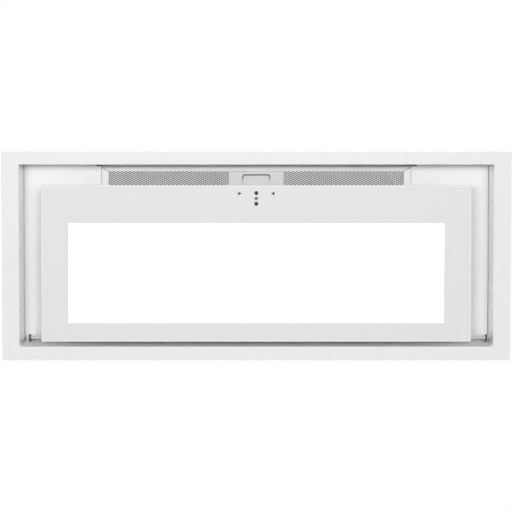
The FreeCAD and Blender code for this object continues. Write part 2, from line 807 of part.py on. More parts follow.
def mesh_sheet(low_z):
    """Sheet of expanded metal: one face with staggered diamond holes, drawn out to its thickness."""
    half_x = filter_x - FILTER_RAIL_T - MESH_FIT
    front = filter_front + FILTER_RAIL_T + MESH_FIT
    rear = filter_rear - FILTER_RAIL_T - MESH_FIT
    corners = ((-half_x, front), (half_x, front), (half_x, rear), (-half_x, rear))
    sheet = polygon([V(x, y, low_z) for x, y in corners])
    edge_x = FILTER_STILE_W + MESH_BORDER
    edge_y = FILTER_RAIL_W + MESH_BORDER
    pitch_x = 2 * (filter_x - edge_x) / MESH_COLUMNS
    pitch_y = (filter_l - 2 * edge_y) / MESH_ROWS
    wide = (pitch_x - MESH_STRAND) / 2
    tall = pitch_y - MESH_STRAND
    keep_x = HANDLE_W / 2 + MESH_STRAND
    keep_y = handle_rear + MESH_STRAND
    holes = []
    for row in range(MESH_ROWS):
        y = filter_front + edge_y + (row + 0.5) * pitch_y
        shift = (row % 2) / 2
        for column in range(MESH_COLUMNS - row % 2):
            x = -filter_x + edge_x + (column + 0.5 + shift) * pitch_x
            if abs(x) - wide < keep_x and y - tall < keep_y:
                continue
            tips = ((x - wide, y), (x, y - tall / 2), (x + wide, y), (x, y + tall / 2))
            holes.append(polygon([V(tx, ty, low_z) for tx, ty in tips]))
    return sheet.cut(holes).extrude(V(0, 0, MESH_T))


def filter_core():
    """Pleated strainer between the two mesh sheets."""
    half_x = filter_x - FILTER_RAIL_T - MESH_FIT
    front = filter_front + FILTER_RAIL_T + MESH_FIT
    rear = filter_rear - FILTER_RAIL_T - MESH_FIT
    step = 2 * half_x / PLEATS
    low = core_low_z
    high = core_top_z - PLEAT_T
    fold = [(-half_x + i * step, high if i % 2 else low) for i in range(PLEATS + 1)]
    outline = fold + [(x, z + PLEAT_T) for x, z in reversed(fold)]
    sheet = polygon([V(x, front, z) for x, z in outline]).extrude(V(0, rear - front, 0))
    return sheet.cut(handle_room((core_low_z, core_top_z)))


def filter_handle():
    case = box((-HANDLE_W / 2, HANDLE_W / 2), (handle_front, handle_rear), (handle_z, core_top_z))
    cup = box((-CUP_W / 2, CUP_W / 2), (cup_front, cup_rear), (handle_z, cup_top_z))
    corners = [e for e in upright_edges(cup) if abs(e.Vertexes[0].Y - cup_front) < 1e-6]
    cup = cup.makeFillet(CUP_CORNER_R, corners)
    half = LATCH_TONGUE_W / 2 + TONGUE_CLEARANCE
    slot = box((-half, half), (handle_front, latch_front), (tongue_low_z - TONGUE_CLEARANCE, cup_top_z))
    return case.cut([cup, slot])


def filter_latch():
    half = CUP_W / 2 - LATCH_SIDE_GAP
    slide = box((-half, half), (latch_front, latch_rear), (latch_low_z, latch_top_z))
    rib = box((-half, half), (latch_rear - LATCH_RIB_L, latch_rear), (latch_low_z - LATCH_RIB_H, latch_low_z))
    tongue = box(
        (-LATCH_TONGUE_W / 2, LATCH_TONGUE_W / 2), (tongue_tip, latch_front), (tongue_low_z, latch_top_z)
    )
    return fuse(slide, rib, tongue)


def latch_keeper():
    x = (-KEEPER_W / 2, KEEPER_W / 2)
    leg = box(x, (keeper_wall, keeper_wall + KEEPER_T), (keeper_z - KEEPER_T, keeper_z + KEEPER_H))
    hook = box(x, (keeper_wall, keeper_tip), (keeper_z - KEEPER_T, keeper_z))
    return fuse(leg, hook)


def latch_spring():
    """Bowed leaf: its crown bears on the slide, its two ends on the rear wall of the cup."""
    half = LEAF_SPAN / 2
    crown = latch_rear

    def bow(inset):
        ends = cup_rear - inset
        points = ((-half, ends), (0, crown + LEAF_T - inset), (half, ends))
        return Part.Arc(*[V(x, y, latch_low_z) for x, y in points])

    outer = bow(LEAF_T).toShape()
    inner = bow(0).toShape()
    ends = [Part.LineSegment(outer.Vertexes[i].Point, inner.Vertexes[i].Point).toShape() for i in (0, 1)]
    face = Part.Face(Part.Wire(Part.__sortEdges__([outer, inner] + ends)))
    return face.extrude(V(0, 0, latch_top_z - latch_low_z))


# Blower
def fan_point(y, z):
    return fan_centre + V(0, y, z)


def arc_about(y, z, radius, start, end):
    """Arc in the plane of the wheel, angles in degrees from the rear."""
    angles = [math.radians(a) for a in (start, (start + end) / 2, end)]
    points = [fan_point(y + radius * math.cos(a), z + radius * math.sin(a)) for a in angles]
    return Part.Arc(*points).toShape()


def volute(grow, width):
    """Scroll drawn with three centres, with its throat carried straight up to the cover."""
    half = VOLUTE_STEP / 2
    radius = volute_r + grow
    throat = NECK_SETBACK - grow
    rear = neck_rear + grow
    top = cover_z - FAN_RISE
    tongue = math.degrees(math.acos((throat + half) / radius))
    tongue_z = radius * math.sin(math.radians(tongue)) - half
    edges = [
        Part.LineSegment(fan_point(rear, top), fan_point(rear, half)).toShape(),
        arc_about(half, half, radius + 2 * VOLUTE_STEP, 0, -90),
        arc_about(half, -half, radius + VOLUTE_STEP, -90, -180),
        arc_about(-half, -half, radius, 180, tongue),
        Part.LineSegment(fan_point(throat, tongue_z), fan_point(throat, top)).toShape(),
        Part.LineSegment(fan_point(throat, top), fan_point(rear, top)).toShape(),
    ]
    body = Part.Face(Part.Wire(edges)).extrude(V(width, 0, 0))
    body.translate(V(-width / 2, 0, 0))
    return body


def scroll():
    wide = SCROLL_W + 2 * SCROLL_T
    rib = NECK_RIB_H
    neck = box(
        (-wide / 2 - SEAM_RIB, wide / 2 + SEAM_RIB),
        (FAN_Y + NECK_SETBACK - SCROLL_T - SEAM_RIB, FAN_Y + neck_rear + SCROLL_T + SEAM_RIB),
        (cover_z - rib, cover_z),
    )
    lip_x = wide / 2 + INLET_LIP_H
    lip = rod(INLET_D + 2 * INLET_LIP_T, (-lip_x, FAN_Y, FAN_RISE), X_AXIS, 2 * lip_x)
    body = fuse(volute(SCROLL_T, wide), volute(SCROLL_T + SEAM_RIB, SEAM_RIB_W), neck, lip)
    inlet = rod(INLET_D, (-wide, FAN_Y, FAN_RISE), X_AXIS, 2 * wide)
    return body.cut([volute(0, SCROLL_W), inlet] + spider_holes())


def scroll_half(side):
    room = MOTOR_BOX_W / 2
    half = box((0, side * room), (-MOTOR_BOX_D, MOTOR_BOX_D), (0, cover_z))
    return scroll().common(half)


def fan_wheel():
    half = WHEEL_W / 2
    inner_r = wheel_r - BLADE_DEPTH

    def spoke_point(radius, degrees):
        a = math.radians(degrees)
        return V(-half, FAN_Y + radius * math.cos(a), FAN_RISE + radius * math.sin(a))

    def blade_arc(turn):
        middle = inner_r + BLADE_DEPTH / 2
        belly = spoke_point(middle, turn + BLADE_SWEEP / 4)
        tip = spoke_point(wheel_r, turn + BLADE_SWEEP)
        return Part.Arc(spoke_point(inner_r, turn), belly, tip).toShape()

    thick = math.degrees(BLADE_T / wheel_r)
    near = blade_arc(0)
    far = blade_arc(thick)
    ends = [Part.LineSegment(near.Vertexes[i].Point, far.Vertexes[i].Point).toShape() for i in (0, 1)]
    blade = Part.Face(Part.Wire(Part.__sortEdges__([near, far] + ends))).extrude(V(WHEEL_W, 0, 0))
    blades = []
    for i in range(BLADE_COUNT):
        turned = blade.copy()
        turned.rotate(fan_centre, X_AXIS, i * 360 / BLADE_COUNT)
        blades.append(turned)
    ring_d = WHEEL_D - 2 * WHEEL_RING_W
    ring_starts = (-half, half - WHEEL_RING_T)
    rings = [tube(WHEEL_D, ring_d, (x, FAN_Y, FAN_RISE), X_AXIS, WHEEL_RING_T) for x in ring_starts]
    disc = rod(WHEEL_D, (0, FAN_Y, FAN_RISE), X_AXIS, WHEEL_DISC_T)
    hub = rod(HUB_D, (hub_end_x, FAN_Y, FAN_RISE), X_AXIS, HUB_L)
    wheel = disc.fuse([hub] + rings + blades)
    return wheel.cut(rod(SHAFT_D, (-half, FAN_Y, FAN_RISE), X_AXIS, WHEEL_W))


def motor_shaft():
    start = hub_end_x - NUT_H
    return rod(SHAFT_D, (start, FAN_Y, FAN_RISE), X_AXIS, bell_out_x - start)


def hub_nut():
    x = hub_end_x - NUT_H
    turns = [2 * math.pi * i / NUT_SIDES for i in range(NUT_SIDES)]
    points = [(FAN_Y + NUT_D / 2 * math.cos(a), FAN_RISE + NUT_D / 2 * math.sin(a)) for a in turns]
    return prism_x(points, (x, x + NUT_H)).cut(rod(SHAFT_D, (x, FAN_Y, FAN_RISE), X_AXIS, NUT_H))


def motor_bell(end_x, split_x):
    """One half of the motor's case, with the seat of a bearing inside its end."""
    into = math.copysign(1, split_x - end_x)
    axis = X_AXIS * into
    shell = rod(MOTOR_D, (end_x, FAN_Y, FAN_RISE), axis, BELL_L)
    room = rod(MOTOR_D - 2 * BELL_T, (end_x + into * BELL_T, FAN_Y, FAN_RISE), axis, BELL_L - BELL_T)
    seat = rod(BEARING_D + 2 * BEARING_SEAT_T, (end_x + into * BELL_T, FAN_Y, FAN_RISE), axis, BEARING_L)
    bearing = rod(BEARING_D, (end_x + into * BELL_T, FAN_Y, FAN_RISE), axis, BEARING_L)
    shaft = rod(SHAFT_D + 2 * BELL_SHAFT_GAP, (end_x, FAN_Y, FAN_RISE), axis, BELL_L)
    return fuse(shell.cut(room), seat).cut([bearing, shaft])


def bearings():
    bore = SHAFT_D + 2 * SHAFT_CLEARANCE
    starts = (bell_end_x + BELL_T, bell_out_x - BELL_T - BEARING_L)
    return Part.makeCompound([tube(BEARING_D, bore, (x, FAN_Y, FAN_RISE), X_AXIS, BEARING_L) for x in starts])


def stator():
    outer = MOTOR_D - 2 * BELL_T
    start = (bell_split_x - STATOR_L / 2, FAN_Y, FAN_RISE)
    return tube(outer, outer - 2 * STATOR_T, start, X_AXIS, STATOR_L)


def rotor():
    outer = MOTOR_D - 2 * BELL_T - 2 * STATOR_T - 2 * AIR_GAP
    return tube(outer, SHAFT_D, (bell_split_x - STATOR_L / 2, FAN_Y, FAN_RISE), X_AXIS, STATOR_L)


spider_r = INLET_D / 2 + SPIDER_OVERLAP
spider_x = SCROLL_W / 2 + SCROLL_T + BUSH_L


def spider_spots():
    turns = [math.radians(90 + 360 * i / SPIDER_ARMS) for i in range(SPIDER_ARMS)]
    return [(FAN_Y + spider_r * math.cos(a), FAN_RISE + spider_r * math.sin(a)) for a in turns]


def spider_holes():
    return [rod(SCREW_D, (SCROLL_W / 2, y, z), X_AXIS, SCROLL_T) for y, z in spider_spots()]


def motor_spider():
    rim = rod(MOTOR_D + 2 * SPIDER_RIM, (spider_x, FAN_Y, FAN_RISE), X_AXIS, SPIDER_T)
    arm = box(
        (spider_x, spider_x + SPIDER_T),
        (FAN_Y - SPIDER_ARM_W / 2, FAN_Y + SPIDER_ARM_W / 2),
        (FAN_RISE, FAN_RISE + spider_r),
    )
    pads = [rod(SPIDER_ARM_W, (spider_x, y, z), X_AXIS, SPIDER_T) for y, z in spider_spots()]
    arms = []
    for i in range(SPIDER_ARMS):
        turned = arm.copy()
        turned.rotate(fan_centre, X_AXIS, 360 * i / SPIDER_ARMS)
        arms.append(turned)
    bores = [rod(SCREW_D, (spider_x, y, z), X_AXIS, SPIDER_T) for y, z in spider_spots()]
    eye = rod(MOTOR_D, (spider_x, FAN_Y, FAN_RISE), X_AXIS, SPIDER_T)
    return fuse(rim, *(arms + pads)).cut([eye] + bores)


def rubber_bushes():
    x = spider_x - BUSH_L
    return Part.makeCompound([tube(BUSH_D, SCREW_D, (x, y, z), X_AXIS, BUSH_L) for y, z in spider_spots()])


# Outlet
def outlet_collar():
    half = COLLAR_FLANGE_W / 2
    flange = box((-half, half), (collar_y - half, collar_y + half), (roof_z, roof_z + COLLAR_FLANGE_T))
    spout = rod(DUCT_D, (0, collar_y, roof_z), Z_AXIS, COLLAR_H)
    seat_d = 2 * (collar_inner_r - FLAP_SEAT_W)
    seat_top = axle_z - FLAP_T / 2 - FLAP_SEAT_GAP
    seat_low = seat_top - FLAP_SEAT_T
    lower = rod(2 * collar_inner_r, (0, collar_y, roof_z), Z_AXIS, seat_low - roof_z)
    throat = rod(seat_d, (0, collar_y, seat_low), Z_AXIS, FLAP_SEAT_T)
    upper = rod(2 * collar_inner_r, (0, collar_y, seat_top), Z_AXIS, roof_z + COLLAR_H - seat_top)
    axle = rod(AXLE_D, (-DUCT_D / 2, collar_y, axle_z), X_AXIS, DUCT_D)
    holes = holes_z(collar_screw_points(), SCREW_D, (roof_z, roof_z + COLLAR_FLANGE_T))
    return fuse(flange, spout).cut([lower, throat, upper, axle] + holes)


def flap_axle():
    length = 2 * collar_inner_r + COLLAR_T
    return rod(AXLE_D, (-length / 2, collar_y, axle_z), X_AXIS, length)


def flap(side):
    """Half disc on two knuckles; side is -1 for the front flap and +1 for the rear one."""
    radius = collar_inner_r - FLAP_GAP
    z = (axle_z - FLAP_T / 2, axle_z + FLAP_T / 2)
    disc = rod(2 * radius, (0, collar_y, z[0]), Z_AXIS, FLAP_T)
    keep = box((-radius, radius), (collar_y + side * FLAP_HINGE_GAP, collar_y + side * radius), z)
    plate = disc.common(keep)
    starts = [
        middle + side * (KNUCKLE_L + KNUCKLE_GAP) / 2 - KNUCKLE_L / 2
        for middle in (-KNUCKLE_X, KNUCKLE_X)
    ]
    knuckles = [rod(KNUCKLE_D, (x, collar_y, axle_z), X_AXIS, KNUCKLE_L) for x in starts]
    webs = [box((x, x + KNUCKLE_L), (collar_y, collar_y + side * FLAP_HINGE_GAP), z) for x in starts]
    bore = rod(AXLE_D + 2 * AXLE_CLEARANCE, (-radius, collar_y, axle_z), X_AXIS, 2 * radius)
    return fuse(plate, *(knuckles + webs)).cut(bore)


# Electrics
def control_box():
    x = (cbox_x, cbox_x + cbox_w)
    y = (CBOX_Y - CBOX_D / 2, CBOX_Y + CBOX_D / 2)
    outer = box(x, y, (plenum_z, cbox_z))
    inner = box(
        (x[0] + CBOX_T, x[1] - CBOX_T), (y[0] + CBOX_T, y[1] - CBOX_T), (plenum_z + CBOX_T, cbox_z)
    )
    height = CBOX_H - CBOX_T
    floor_z = plenum_z + CBOX_T
    bosses = [rod(CBOX_BOSS_D, (bx, by, floor_z), Z_AXIS, height) for bx, by in cbox_screw_points()]
    studs = [rod(STANDOFF_D, (bx, by, floor_z), Z_AXIS, STANDOFF_H) for bx, by in standoff_points()]
    body = fuse(outer.cut(inner), *(bosses + studs))
    lead_hole = rod(MOTOR_LEAD_D, (x[0], FAN_Y, motor_lead_z), X_AXIS, CBOX_T)
    gland_hole = rod(GLAND_NECK_D, (cbox_mid_x + GLAND_X, y[1] - CBOX_T, gland_z), Y_AXIS, CBOX_T)
    return body.cut(holes_z(cbox_screw_points(), SCREW_D, (plenum_z, cbox_z)) + [lead_hole, gland_hole])


def standoff_points():
    step_x = cbox_w / 2 - BOARD_MARGIN - STANDOFF_D
    step_y = CBOX_D / 2 - BOARD_MARGIN - STANDOFF_D
    return [(cbox_mid_x + i * step_x, CBOX_Y + j * step_y) for i in (-1, 1) for j in (-1, 1)]


def control_lid():
    y = (CBOX_Y - CBOX_D / 2, CBOX_Y + CBOX_D / 2)
    z = (cbox_z, cbox_z + CBOX_T)
    return box((cbox_x, cbox_x + cbox_w), y, z).cut(holes_z(cbox_screw_points(), SCREW_D, z))


def control_screws():
    grip = CBOX_H + CBOX_T + SHEET_T
    return Part.makeCompound([screw((x, y, cbox_z + CBOX_T), Z_AXIS, grip) for x, y in cbox_screw_points()])


def control_board():
    half_x = cbox_w / 2 - BOARD_MARGIN
    half_y = CBOX_D / 2 - BOARD_MARGIN
    y = (CBOX_Y - half_y, CBOX_Y + half_y)
    return box((cbox_mid_x - half_x, cbox_mid_x + half_x), y, (board_z, board_z + BOARD_T))


def run_capacitor():
    z = board_z + BOARD_T + CAPACITOR_D / 2
    y = CBOX_Y - CBOX_D / 2 + BOARD_MARGIN + CAPACITOR_D / 2
    return rod(CAPACITOR_D, (cbox_mid_x - CAPACITOR_L / 2, y, z), X_AXIS, CAPACITOR_L)


def terminal_block():
    low = board_z + BOARD_T
    rear = CBOX_Y + CBOX_D / 2 - BOARD_MARGIN
    end = cbox_mid_x + GLAND_X
    start = end - TERMINAL_W
    body = box((start, end), (rear - TERMINAL_D, rear), (low, low + TERMINAL_H))
    pitch = TERMINAL_W / TERMINAL_WAYS
    entry_y = rear - TERMINAL_D / 2
    entry_z = low + TERMINAL_H / 2
    entries = [
        rod(SCREW_D, (start + (i + 0.5) * pitch, entry_y, entry_z), Y_AXIS, TERMINAL_D)
        for i in range(TERMINAL_WAYS)
    ]
    return body.cut(entries)


def cable_gland():
    wall = CBOX_Y + CBOX_D / 2
    x = cbox_mid_x + GLAND_X
    neck = rod(GLAND_NECK_D, (x, wall - CBOX_T, gland_z), Y_AXIS, CBOX_T)
    cap = rod(GLAND_D, (x, wall, gland_z), Y_AXIS, GLAND_L)
    return fuse(neck, cap).cut(rod(GLAND_BORE_D, (x, wall - CBOX_T, gland_z), Y_AXIS, GLAND_L + CBOX_T))


def motor_lead():
    return rod(MOTOR_LEAD_D, (bell_out_x, FAN_Y, motor_lead_z), X_AXIS, cbox_x + CBOX_T - bell_out_x)


def lead_grommets():
    starts = (MOTOR_BOX_W / 2, cbox_x - LEAD_GROMMET_T)
    return Part.makeCompound([
        tube(LEAD_GROMMET_D, MOTOR_LEAD_D, (x, FAN_Y, motor_lead_z), X_AXIS, LEAD_GROMMET_T) for x in starts
    ])


NODES = {
    "trim_frame": trim_frame(),
    "plenum_shell": plenum_shell(),
    "base_plate": base_plate(),
    "hinge_rail": hinge_rail(),
    "plenum_rivets": rivets(),
    "motor_housing": motor_housing(),
    "motor_cover": motor_cover(),
    "sheet_screws": sheet_screws(),
    "hinge_ears": Part.makeCompound([hinge_ear(ear_right), mirrored(hinge_ear(ear_left))]),
    "hinge_pins": Part.makeCompound([hinge_pin(ear_right), mirrored(hinge_pin(ear_left))]),
    "catch_posts": pair(catch_post()),
    "catch_magnets": pair(catch_magnet()),
    "glass_panel": glass_panel(),
    "light_window": light_window(),
    "light_guide": guide_sheet(diffuser_z, guide_z),
    "reflector_sheet": guide_sheet(guide_z, tray_floor_z),
    "led_strips": Part.makeCompound([led_strip(guide_front, -1), led_strip(guide_rear, 1)]),
    "panel_tray": panel_tray(),
    "sensor_board": sensor_board(),
    "sensor_lenses": Part.makeCompound([sensor_lens(y, d) for y, d in sensor_spots() if d == SENSOR_D]),
    "indicator_lens": sensor_lens(*sensor_spots()[1]),
    "arrow_marks": pair(arrow_mark()),
    "hinge_blocks": pair(hinge_block()),
    "strike_plates": pair(strike_plate()),
    "lead_clip_upper": lead_clip(clip_high_z),
    "lead_clip_lower": lead_clip(clip_low_z),
    "panel_lead": panel_lead(),
    "filter_frame": filter_frame(),
    "filter_mesh_lower": mesh_sheet(mesh_low_z).cut(handle_room((mesh_low_z, core_low_z))),
    "filter_core": filter_core(),
    "filter_mesh_upper": mesh_sheet(core_top_z),
    "filter_handle": filter_handle(),
    "filter_latch": filter_latch(),
    "latch_spring": latch_spring(),
    "latch_keeper": latch_keeper(),
    "scroll_left": scroll_half(-1),
    "scroll_right": scroll_half(1),
    "fan_wheel": fan_wheel(),
    "motor_shaft": motor_shaft(),
    "hub_nut": hub_nut(),
    "motor_bell_outer": motor_bell(bell_out_x, bell_split_x),
    "motor_bell_inner": motor_bell(bell_end_x, bell_split_x),
    "motor_bearings": bearings(),
    "stator": stator(),
    "rotor": rotor(),
    "motor_spider": motor_spider(),
    "rubber_bushes": rubber_bushes(),
    "outlet_collar": outlet_collar(),
    "flap_axle": flap_axle(),
    "flap_front": flap(-1),
    "flap_rear": flap(1),
}
ELECTRICS = {
    "control_box": control_box(),
    "control_lid": control_lid(),
    "control_screws": control_screws(),
    "control_board": control_board(),
    "run_capacitor": run_capacitor(),
    "terminal_block": terminal_block(),
    "cable_gland": cable_gland(),
    "motor_lead": motor_lead(),
    "lead_grommets": lead_grommets(),
}

os.makedirs("parts", exist_ok=True)
for name, shape in {**NODES, **ELECTRICS}.items():
    shape.exportStep("parts/%s.step" % name)
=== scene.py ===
import json
import math

import bpy
import numpy as np
from mathutils import Matrix, Vector


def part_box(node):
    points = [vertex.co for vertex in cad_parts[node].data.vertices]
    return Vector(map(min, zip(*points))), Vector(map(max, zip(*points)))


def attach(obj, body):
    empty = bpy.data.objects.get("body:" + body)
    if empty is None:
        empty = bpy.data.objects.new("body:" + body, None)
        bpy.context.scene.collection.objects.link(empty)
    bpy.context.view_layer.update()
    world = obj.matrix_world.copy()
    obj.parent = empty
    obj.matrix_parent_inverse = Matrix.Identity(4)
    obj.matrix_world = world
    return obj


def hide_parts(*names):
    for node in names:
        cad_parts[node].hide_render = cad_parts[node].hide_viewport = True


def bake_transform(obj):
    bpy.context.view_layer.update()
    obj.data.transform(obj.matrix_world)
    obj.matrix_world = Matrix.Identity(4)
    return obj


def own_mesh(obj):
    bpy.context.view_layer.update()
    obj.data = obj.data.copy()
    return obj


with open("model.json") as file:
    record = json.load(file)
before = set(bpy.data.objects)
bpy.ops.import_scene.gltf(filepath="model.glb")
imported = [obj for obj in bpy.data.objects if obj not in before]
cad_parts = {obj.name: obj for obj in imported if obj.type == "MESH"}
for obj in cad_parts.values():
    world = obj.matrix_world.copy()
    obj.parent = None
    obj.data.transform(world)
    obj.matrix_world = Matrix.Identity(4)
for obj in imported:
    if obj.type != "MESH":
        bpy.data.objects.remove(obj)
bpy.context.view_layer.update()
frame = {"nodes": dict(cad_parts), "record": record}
MM = 0.001

# Camera: below the hood, looking up and slightly to the rear, with the cook's side at the top of the picture
VIEW_DISTANCE = 2.0
VIEW_WIDTH = 0.7240
VIEW_TILT = math.radians(2.2)
VIEW_CENTRE = Vector((-0.0004, -0.0004, -0.002))
VIEW_FAR = 50
SENSOR_W = 36

forward = Vector((0, math.sin(VIEW_TILT), math.cos(VIEW_TILT)))
sideways = Vector((1, 0, 0))
upward = sideways.cross(forward)
turn = Matrix((sideways, upward, -forward)).transposed().to_4x4()
camera = bpy.data.objects.new("camera", bpy.data.cameras.new("camera"))
camera.data.sensor_width = SENSOR_W
camera.data.lens = SENSOR_W * VIEW_DISTANCE / VIEW_WIDTH
camera.data.clip_end = VIEW_FAR
camera.matrix_world = Matrix.Translation(VIEW_CENTRE - VIEW_DISTANCE * forward) @ turn
bpy.context.scene.collection.objects.link(camera)
bpy.context.scene.camera = camera
bpy.context.scene.view_settings.view_transform = "Standard"


# Finishes
class Tone:
    """A socket of a node tree; arithmetic with it adds Math nodes."""

    def __init__(self, nodes, socket):
        self.nodes = nodes
        self.socket = socket

    def math(self, operation, *terms):
        return self.nodes.node("ShaderNodeMath", {"operation": operation}, terms)

    def __add__(self, other):
        return self.math("ADD", self, other)

    def __sub__(self, other):
        return self.math("SUBTRACT", self, other)

    def __rsub__(self, other):
        return self.math("SUBTRACT", other, self)

    def __mul__(self, other):
        return self.math("MULTIPLY", self, other)

    def __pow__(self, other):
        return self.math("POWER", self, other)

    def __abs__(self):
        return self.math("ABSOLUTE", self)

    __radd__ = __add__
    __rmul__ = __mul__

    def least(self, other):
        return self.math("MINIMUM", self, other)

    def most(self, other):
        return self.math("MAXIMUM", self, other)

    def wave(self):
        return self.math("SINE", self)

    def ease(self, low, high):
        """0 below low, 1 above high, with a smooth step between."""
        inputs = {"Value": self, "From Min": low, "From Max": high}
        return self.nodes.node("ShaderNodeMapRange", {"interpolation_type": "SMOOTHSTEP"}, inputs)


class Nodes:
    """A node tree, to which nodes are added with their settings and the values or links of their sockets."""

    def __init__(self, tree):
        self.tree = tree

    def feed(self, socket, value):
        if isinstance(value, Tone):
            self.tree.links.new(value.socket, socket)
        else:
            socket.default_value = value

    def node(self, kind, settings, inputs, output=0):
        made = self.tree.nodes.new(kind)
        for key, value in settings.items():
            setattr(made, key, value)
        for key, value in inputs.items() if isinstance(inputs, dict) else enumerate(inputs):
            self.feed(made.inputs[key], value)
        return Tone(self, made.outputs[output])

    def shown_directly(self):
        """1 for rays from the camera, mirrors and glass; 0 for the light that falls on the object."""
        kinds = ("Is Camera Ray", "Is Glossy Ray", "Is Transmission Ray")
        camera_ray, mirror_ray, glass_ray = (self.node("ShaderNodeLightPath", {}, {}, kind) for kind in kinds)
        return camera_ray.most(mirror_ray).most(glass_ray)


class Finish(Nodes):
    """A material with one Principled shader, read in the object's own coordinates."""

    def __init__(self, name, sockets):
        self.name = name
        self.material = bpy.data.materials.new(name)
        self.material.use_nodes = True
        super().__init__(self.material.node_tree)
        self.shader = self.tree.nodes["Principled BSDF"]
        self.set(sockets)

    def set(self, sockets):
        for name, value in sockets.items():
            self.feed(self.shader.inputs[name], value)

    def place(self):
        return self.node("ShaderNodeTexCoord", {}, {}, "Object")

    def axis(self, letter):
        return self.node("ShaderNodeSeparateXYZ", {}, [self.place()], letter)

    def insets(self, half_width, front, rear):
        """Distances inward from the nearer side and the nearer end of a rectangle centred on x = 0."""
        from_side = half_width - abs(self.axis("X"))
        from_end = (self.axis("Y") - front).least(rear - self.axis("Y"))
        return from_side, from_end

    def stretched(self, scale):
        return self.node("ShaderNodeMapping", {}, {"Vector": self.place(), "Scale": scale})

    def noise(self, scale, detail=3.0, rough=0.55, at=None):
        inputs = {"Vector": at or self.place(), "Scale": scale, "Detail": detail, "Roughness": rough}
        return self.node("ShaderNodeTexNoise", {}, inputs)

    def cells(self, scale, channel):
        """A level between 0 and 1 that is even over each cell: one channel of the cell's colour."""
        colour = self.node("ShaderNodeTexVoronoi", {}, {"Vector": self.place(), "Scale": scale}, "Color")
        return self.node("ShaderNodeSeparateColor", {}, [colour], channel)

    def blend(self, share, low, high):
        """Colour low where share is 0, colour high where it is 1."""
        return self.node("ShaderNodeMix", {"data_type": "RGBA"}, {0: share, 6: low, 7: high}, 2)

    def relief(self, height, depth, strength):
        inputs = {"Height": height, "Distance": depth, "Strength": strength}
        self.set({"Normal": self.node("ShaderNodeBump", {}, inputs)})


PAINT_IOR = 1.48
LACQUER_IOR = 1.5
LACQUER_ROUGH = 0.06
GLASS_IOR = 1.52
ACRYLIC_IOR = 1.49
PLASTIC_IOR = 1.5
# Width of the painted highlight band round the glass's edge
GLASS_HIGHLIGHT_BAND = (2.0 * MM, 2.4 * MM)
WINDOW_EDGE = (4.0 * MM, 30.0 * MM)
ZINC_TINT = (0.985, 0.995, 1.0)
TAB_REACH = 9.0 * MM
RAIL_W = 6.0 * MM
STILE_W = 9.6 * MM
MITRE_LINE = (0.3 * MM, 0.6 * MM)
EAR_PAINT_EDGE = (12.0 * MM, 13.0 * MM)
COPPER_WAVES = (900, 700)
PLATE_PITCH = 1.0 * MM


def grey(level, tint=(1, 1, 1)):
    return (level * tint[0], level * tint[1], level * tint[2], 1)


def shade(colour, share):
    """A colour made darker or lighter by a share, at most full."""
    return tuple(min(1, share * channel) for channel in colour) + (1,)


def enamel(name, level, rough=0.08, coat=0.0):
    """Powder coat, with or without a clear top coat: even colour, faint clouding, fine orange peel."""
    lacquer = {"Coat Weight": coat, "Coat Roughness": LACQUER_ROUGH, "Coat IOR": LACQUER_IOR}
    made = Finish(name, {"IOR": PAINT_IOR, **lacquer})
    cloud = made.noise(scale=9, detail=4)
    made.set({"Base Color": made.blend(cloud, grey(level * 0.985), grey(level * 1.012))})
    made.set({"Roughness": rough + 0.06 * made.noise(scale=60)})
    made.relief(made.noise(scale=420, detail=2), depth=0.03 * MM, strength=0.1)
    return made


def glazing(name, level, highlight_level):
    """Glass painted on its back: polished face, and round the edge a lighter band, a painted highlight over
    the ground bevel and a strip of the face beside it.
    """
    made = Finish(name, {"IOR": GLASS_IOR})
    low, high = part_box("glass_panel")
    from_side, from_end = made.insets(high.x, low.y, high.y)
    polished = from_side.least(from_end).ease(*GLASS_HIGHLIGHT_BAND)
    face = made.blend(made.noise(scale=5), grey(level * 0.995), grey(level * 1.005, (1, 1, 0.998)))
    # Painted highlight: a lighter band round the edge of the glass
    made.set({"Base Color": made.blend(polished, grey(highlight_level), face)})
    made.set({"Roughness": 0.16 - 0.11 * polished + 0.02 * made.noise(scale=40)})
    return made


def lamp_window(name):
    """Opal sheet lit from behind, a touch stronger in the middle than along its edges."""
    opal = {"Roughness": 0.2, "IOR": ACRYLIC_IOR, "Base Color": grey(0.9), "Emission Strength": 1.0}
    made = Finish(name, opal)
    low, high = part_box("light_window")
    from_side, from_end = made.insets(high.x, low.y, high.y)
    inner = from_side.least(from_end).ease(*WINDOW_EDGE)
    made.set({"Emission Color": made.blend(inner, grey(0.86), grey(1.0))})
    return made


def zinc_sheet(name, level):
    """Hot-dip galvanised sheet: crystals of differing grey under a dull bloom."""
    made = Finish(name, {"Metallic": 0.85})
    crystal = made.cells(scale=130, channel=0)
    fine = made.cells(scale=330, channel=1)
    tone = 0.5 * crystal + 0.4 * fine + 0.1 * made.noise(scale=14)
    made.set({"Base Color": made.blend(tone, grey(level * 0.84, ZINC_TINT), grey(level * 1.1, ZINC_TINT))})
    made.set({"Roughness": 0.36 + 0.12 * crystal + 0.06 * made.noise(scale=300)})
    made.relief(made.noise(scale=420, detail=2), depth=0.1 * MM, strength=0.2)
    return made


def metal(name, colour, rough, lines=(1, 1, 1), metallic=1.0):
    """Bare metal with a drawn grain: noise stretched along the drawing direction."""
    made = Finish(name, {"Metallic": metallic})
    grain = made.noise(scale=500, rough=0.6, at=made.stretched(lines))
    made.set({"Base Color": made.blend(grain, shade(colour, 0.9), shade(colour, 1.05))})
    made.set({"Roughness": rough - 0.06 + 0.12 * grain})
    made.relief(grain, depth=0.06 * MM, strength=0.25)
    return made


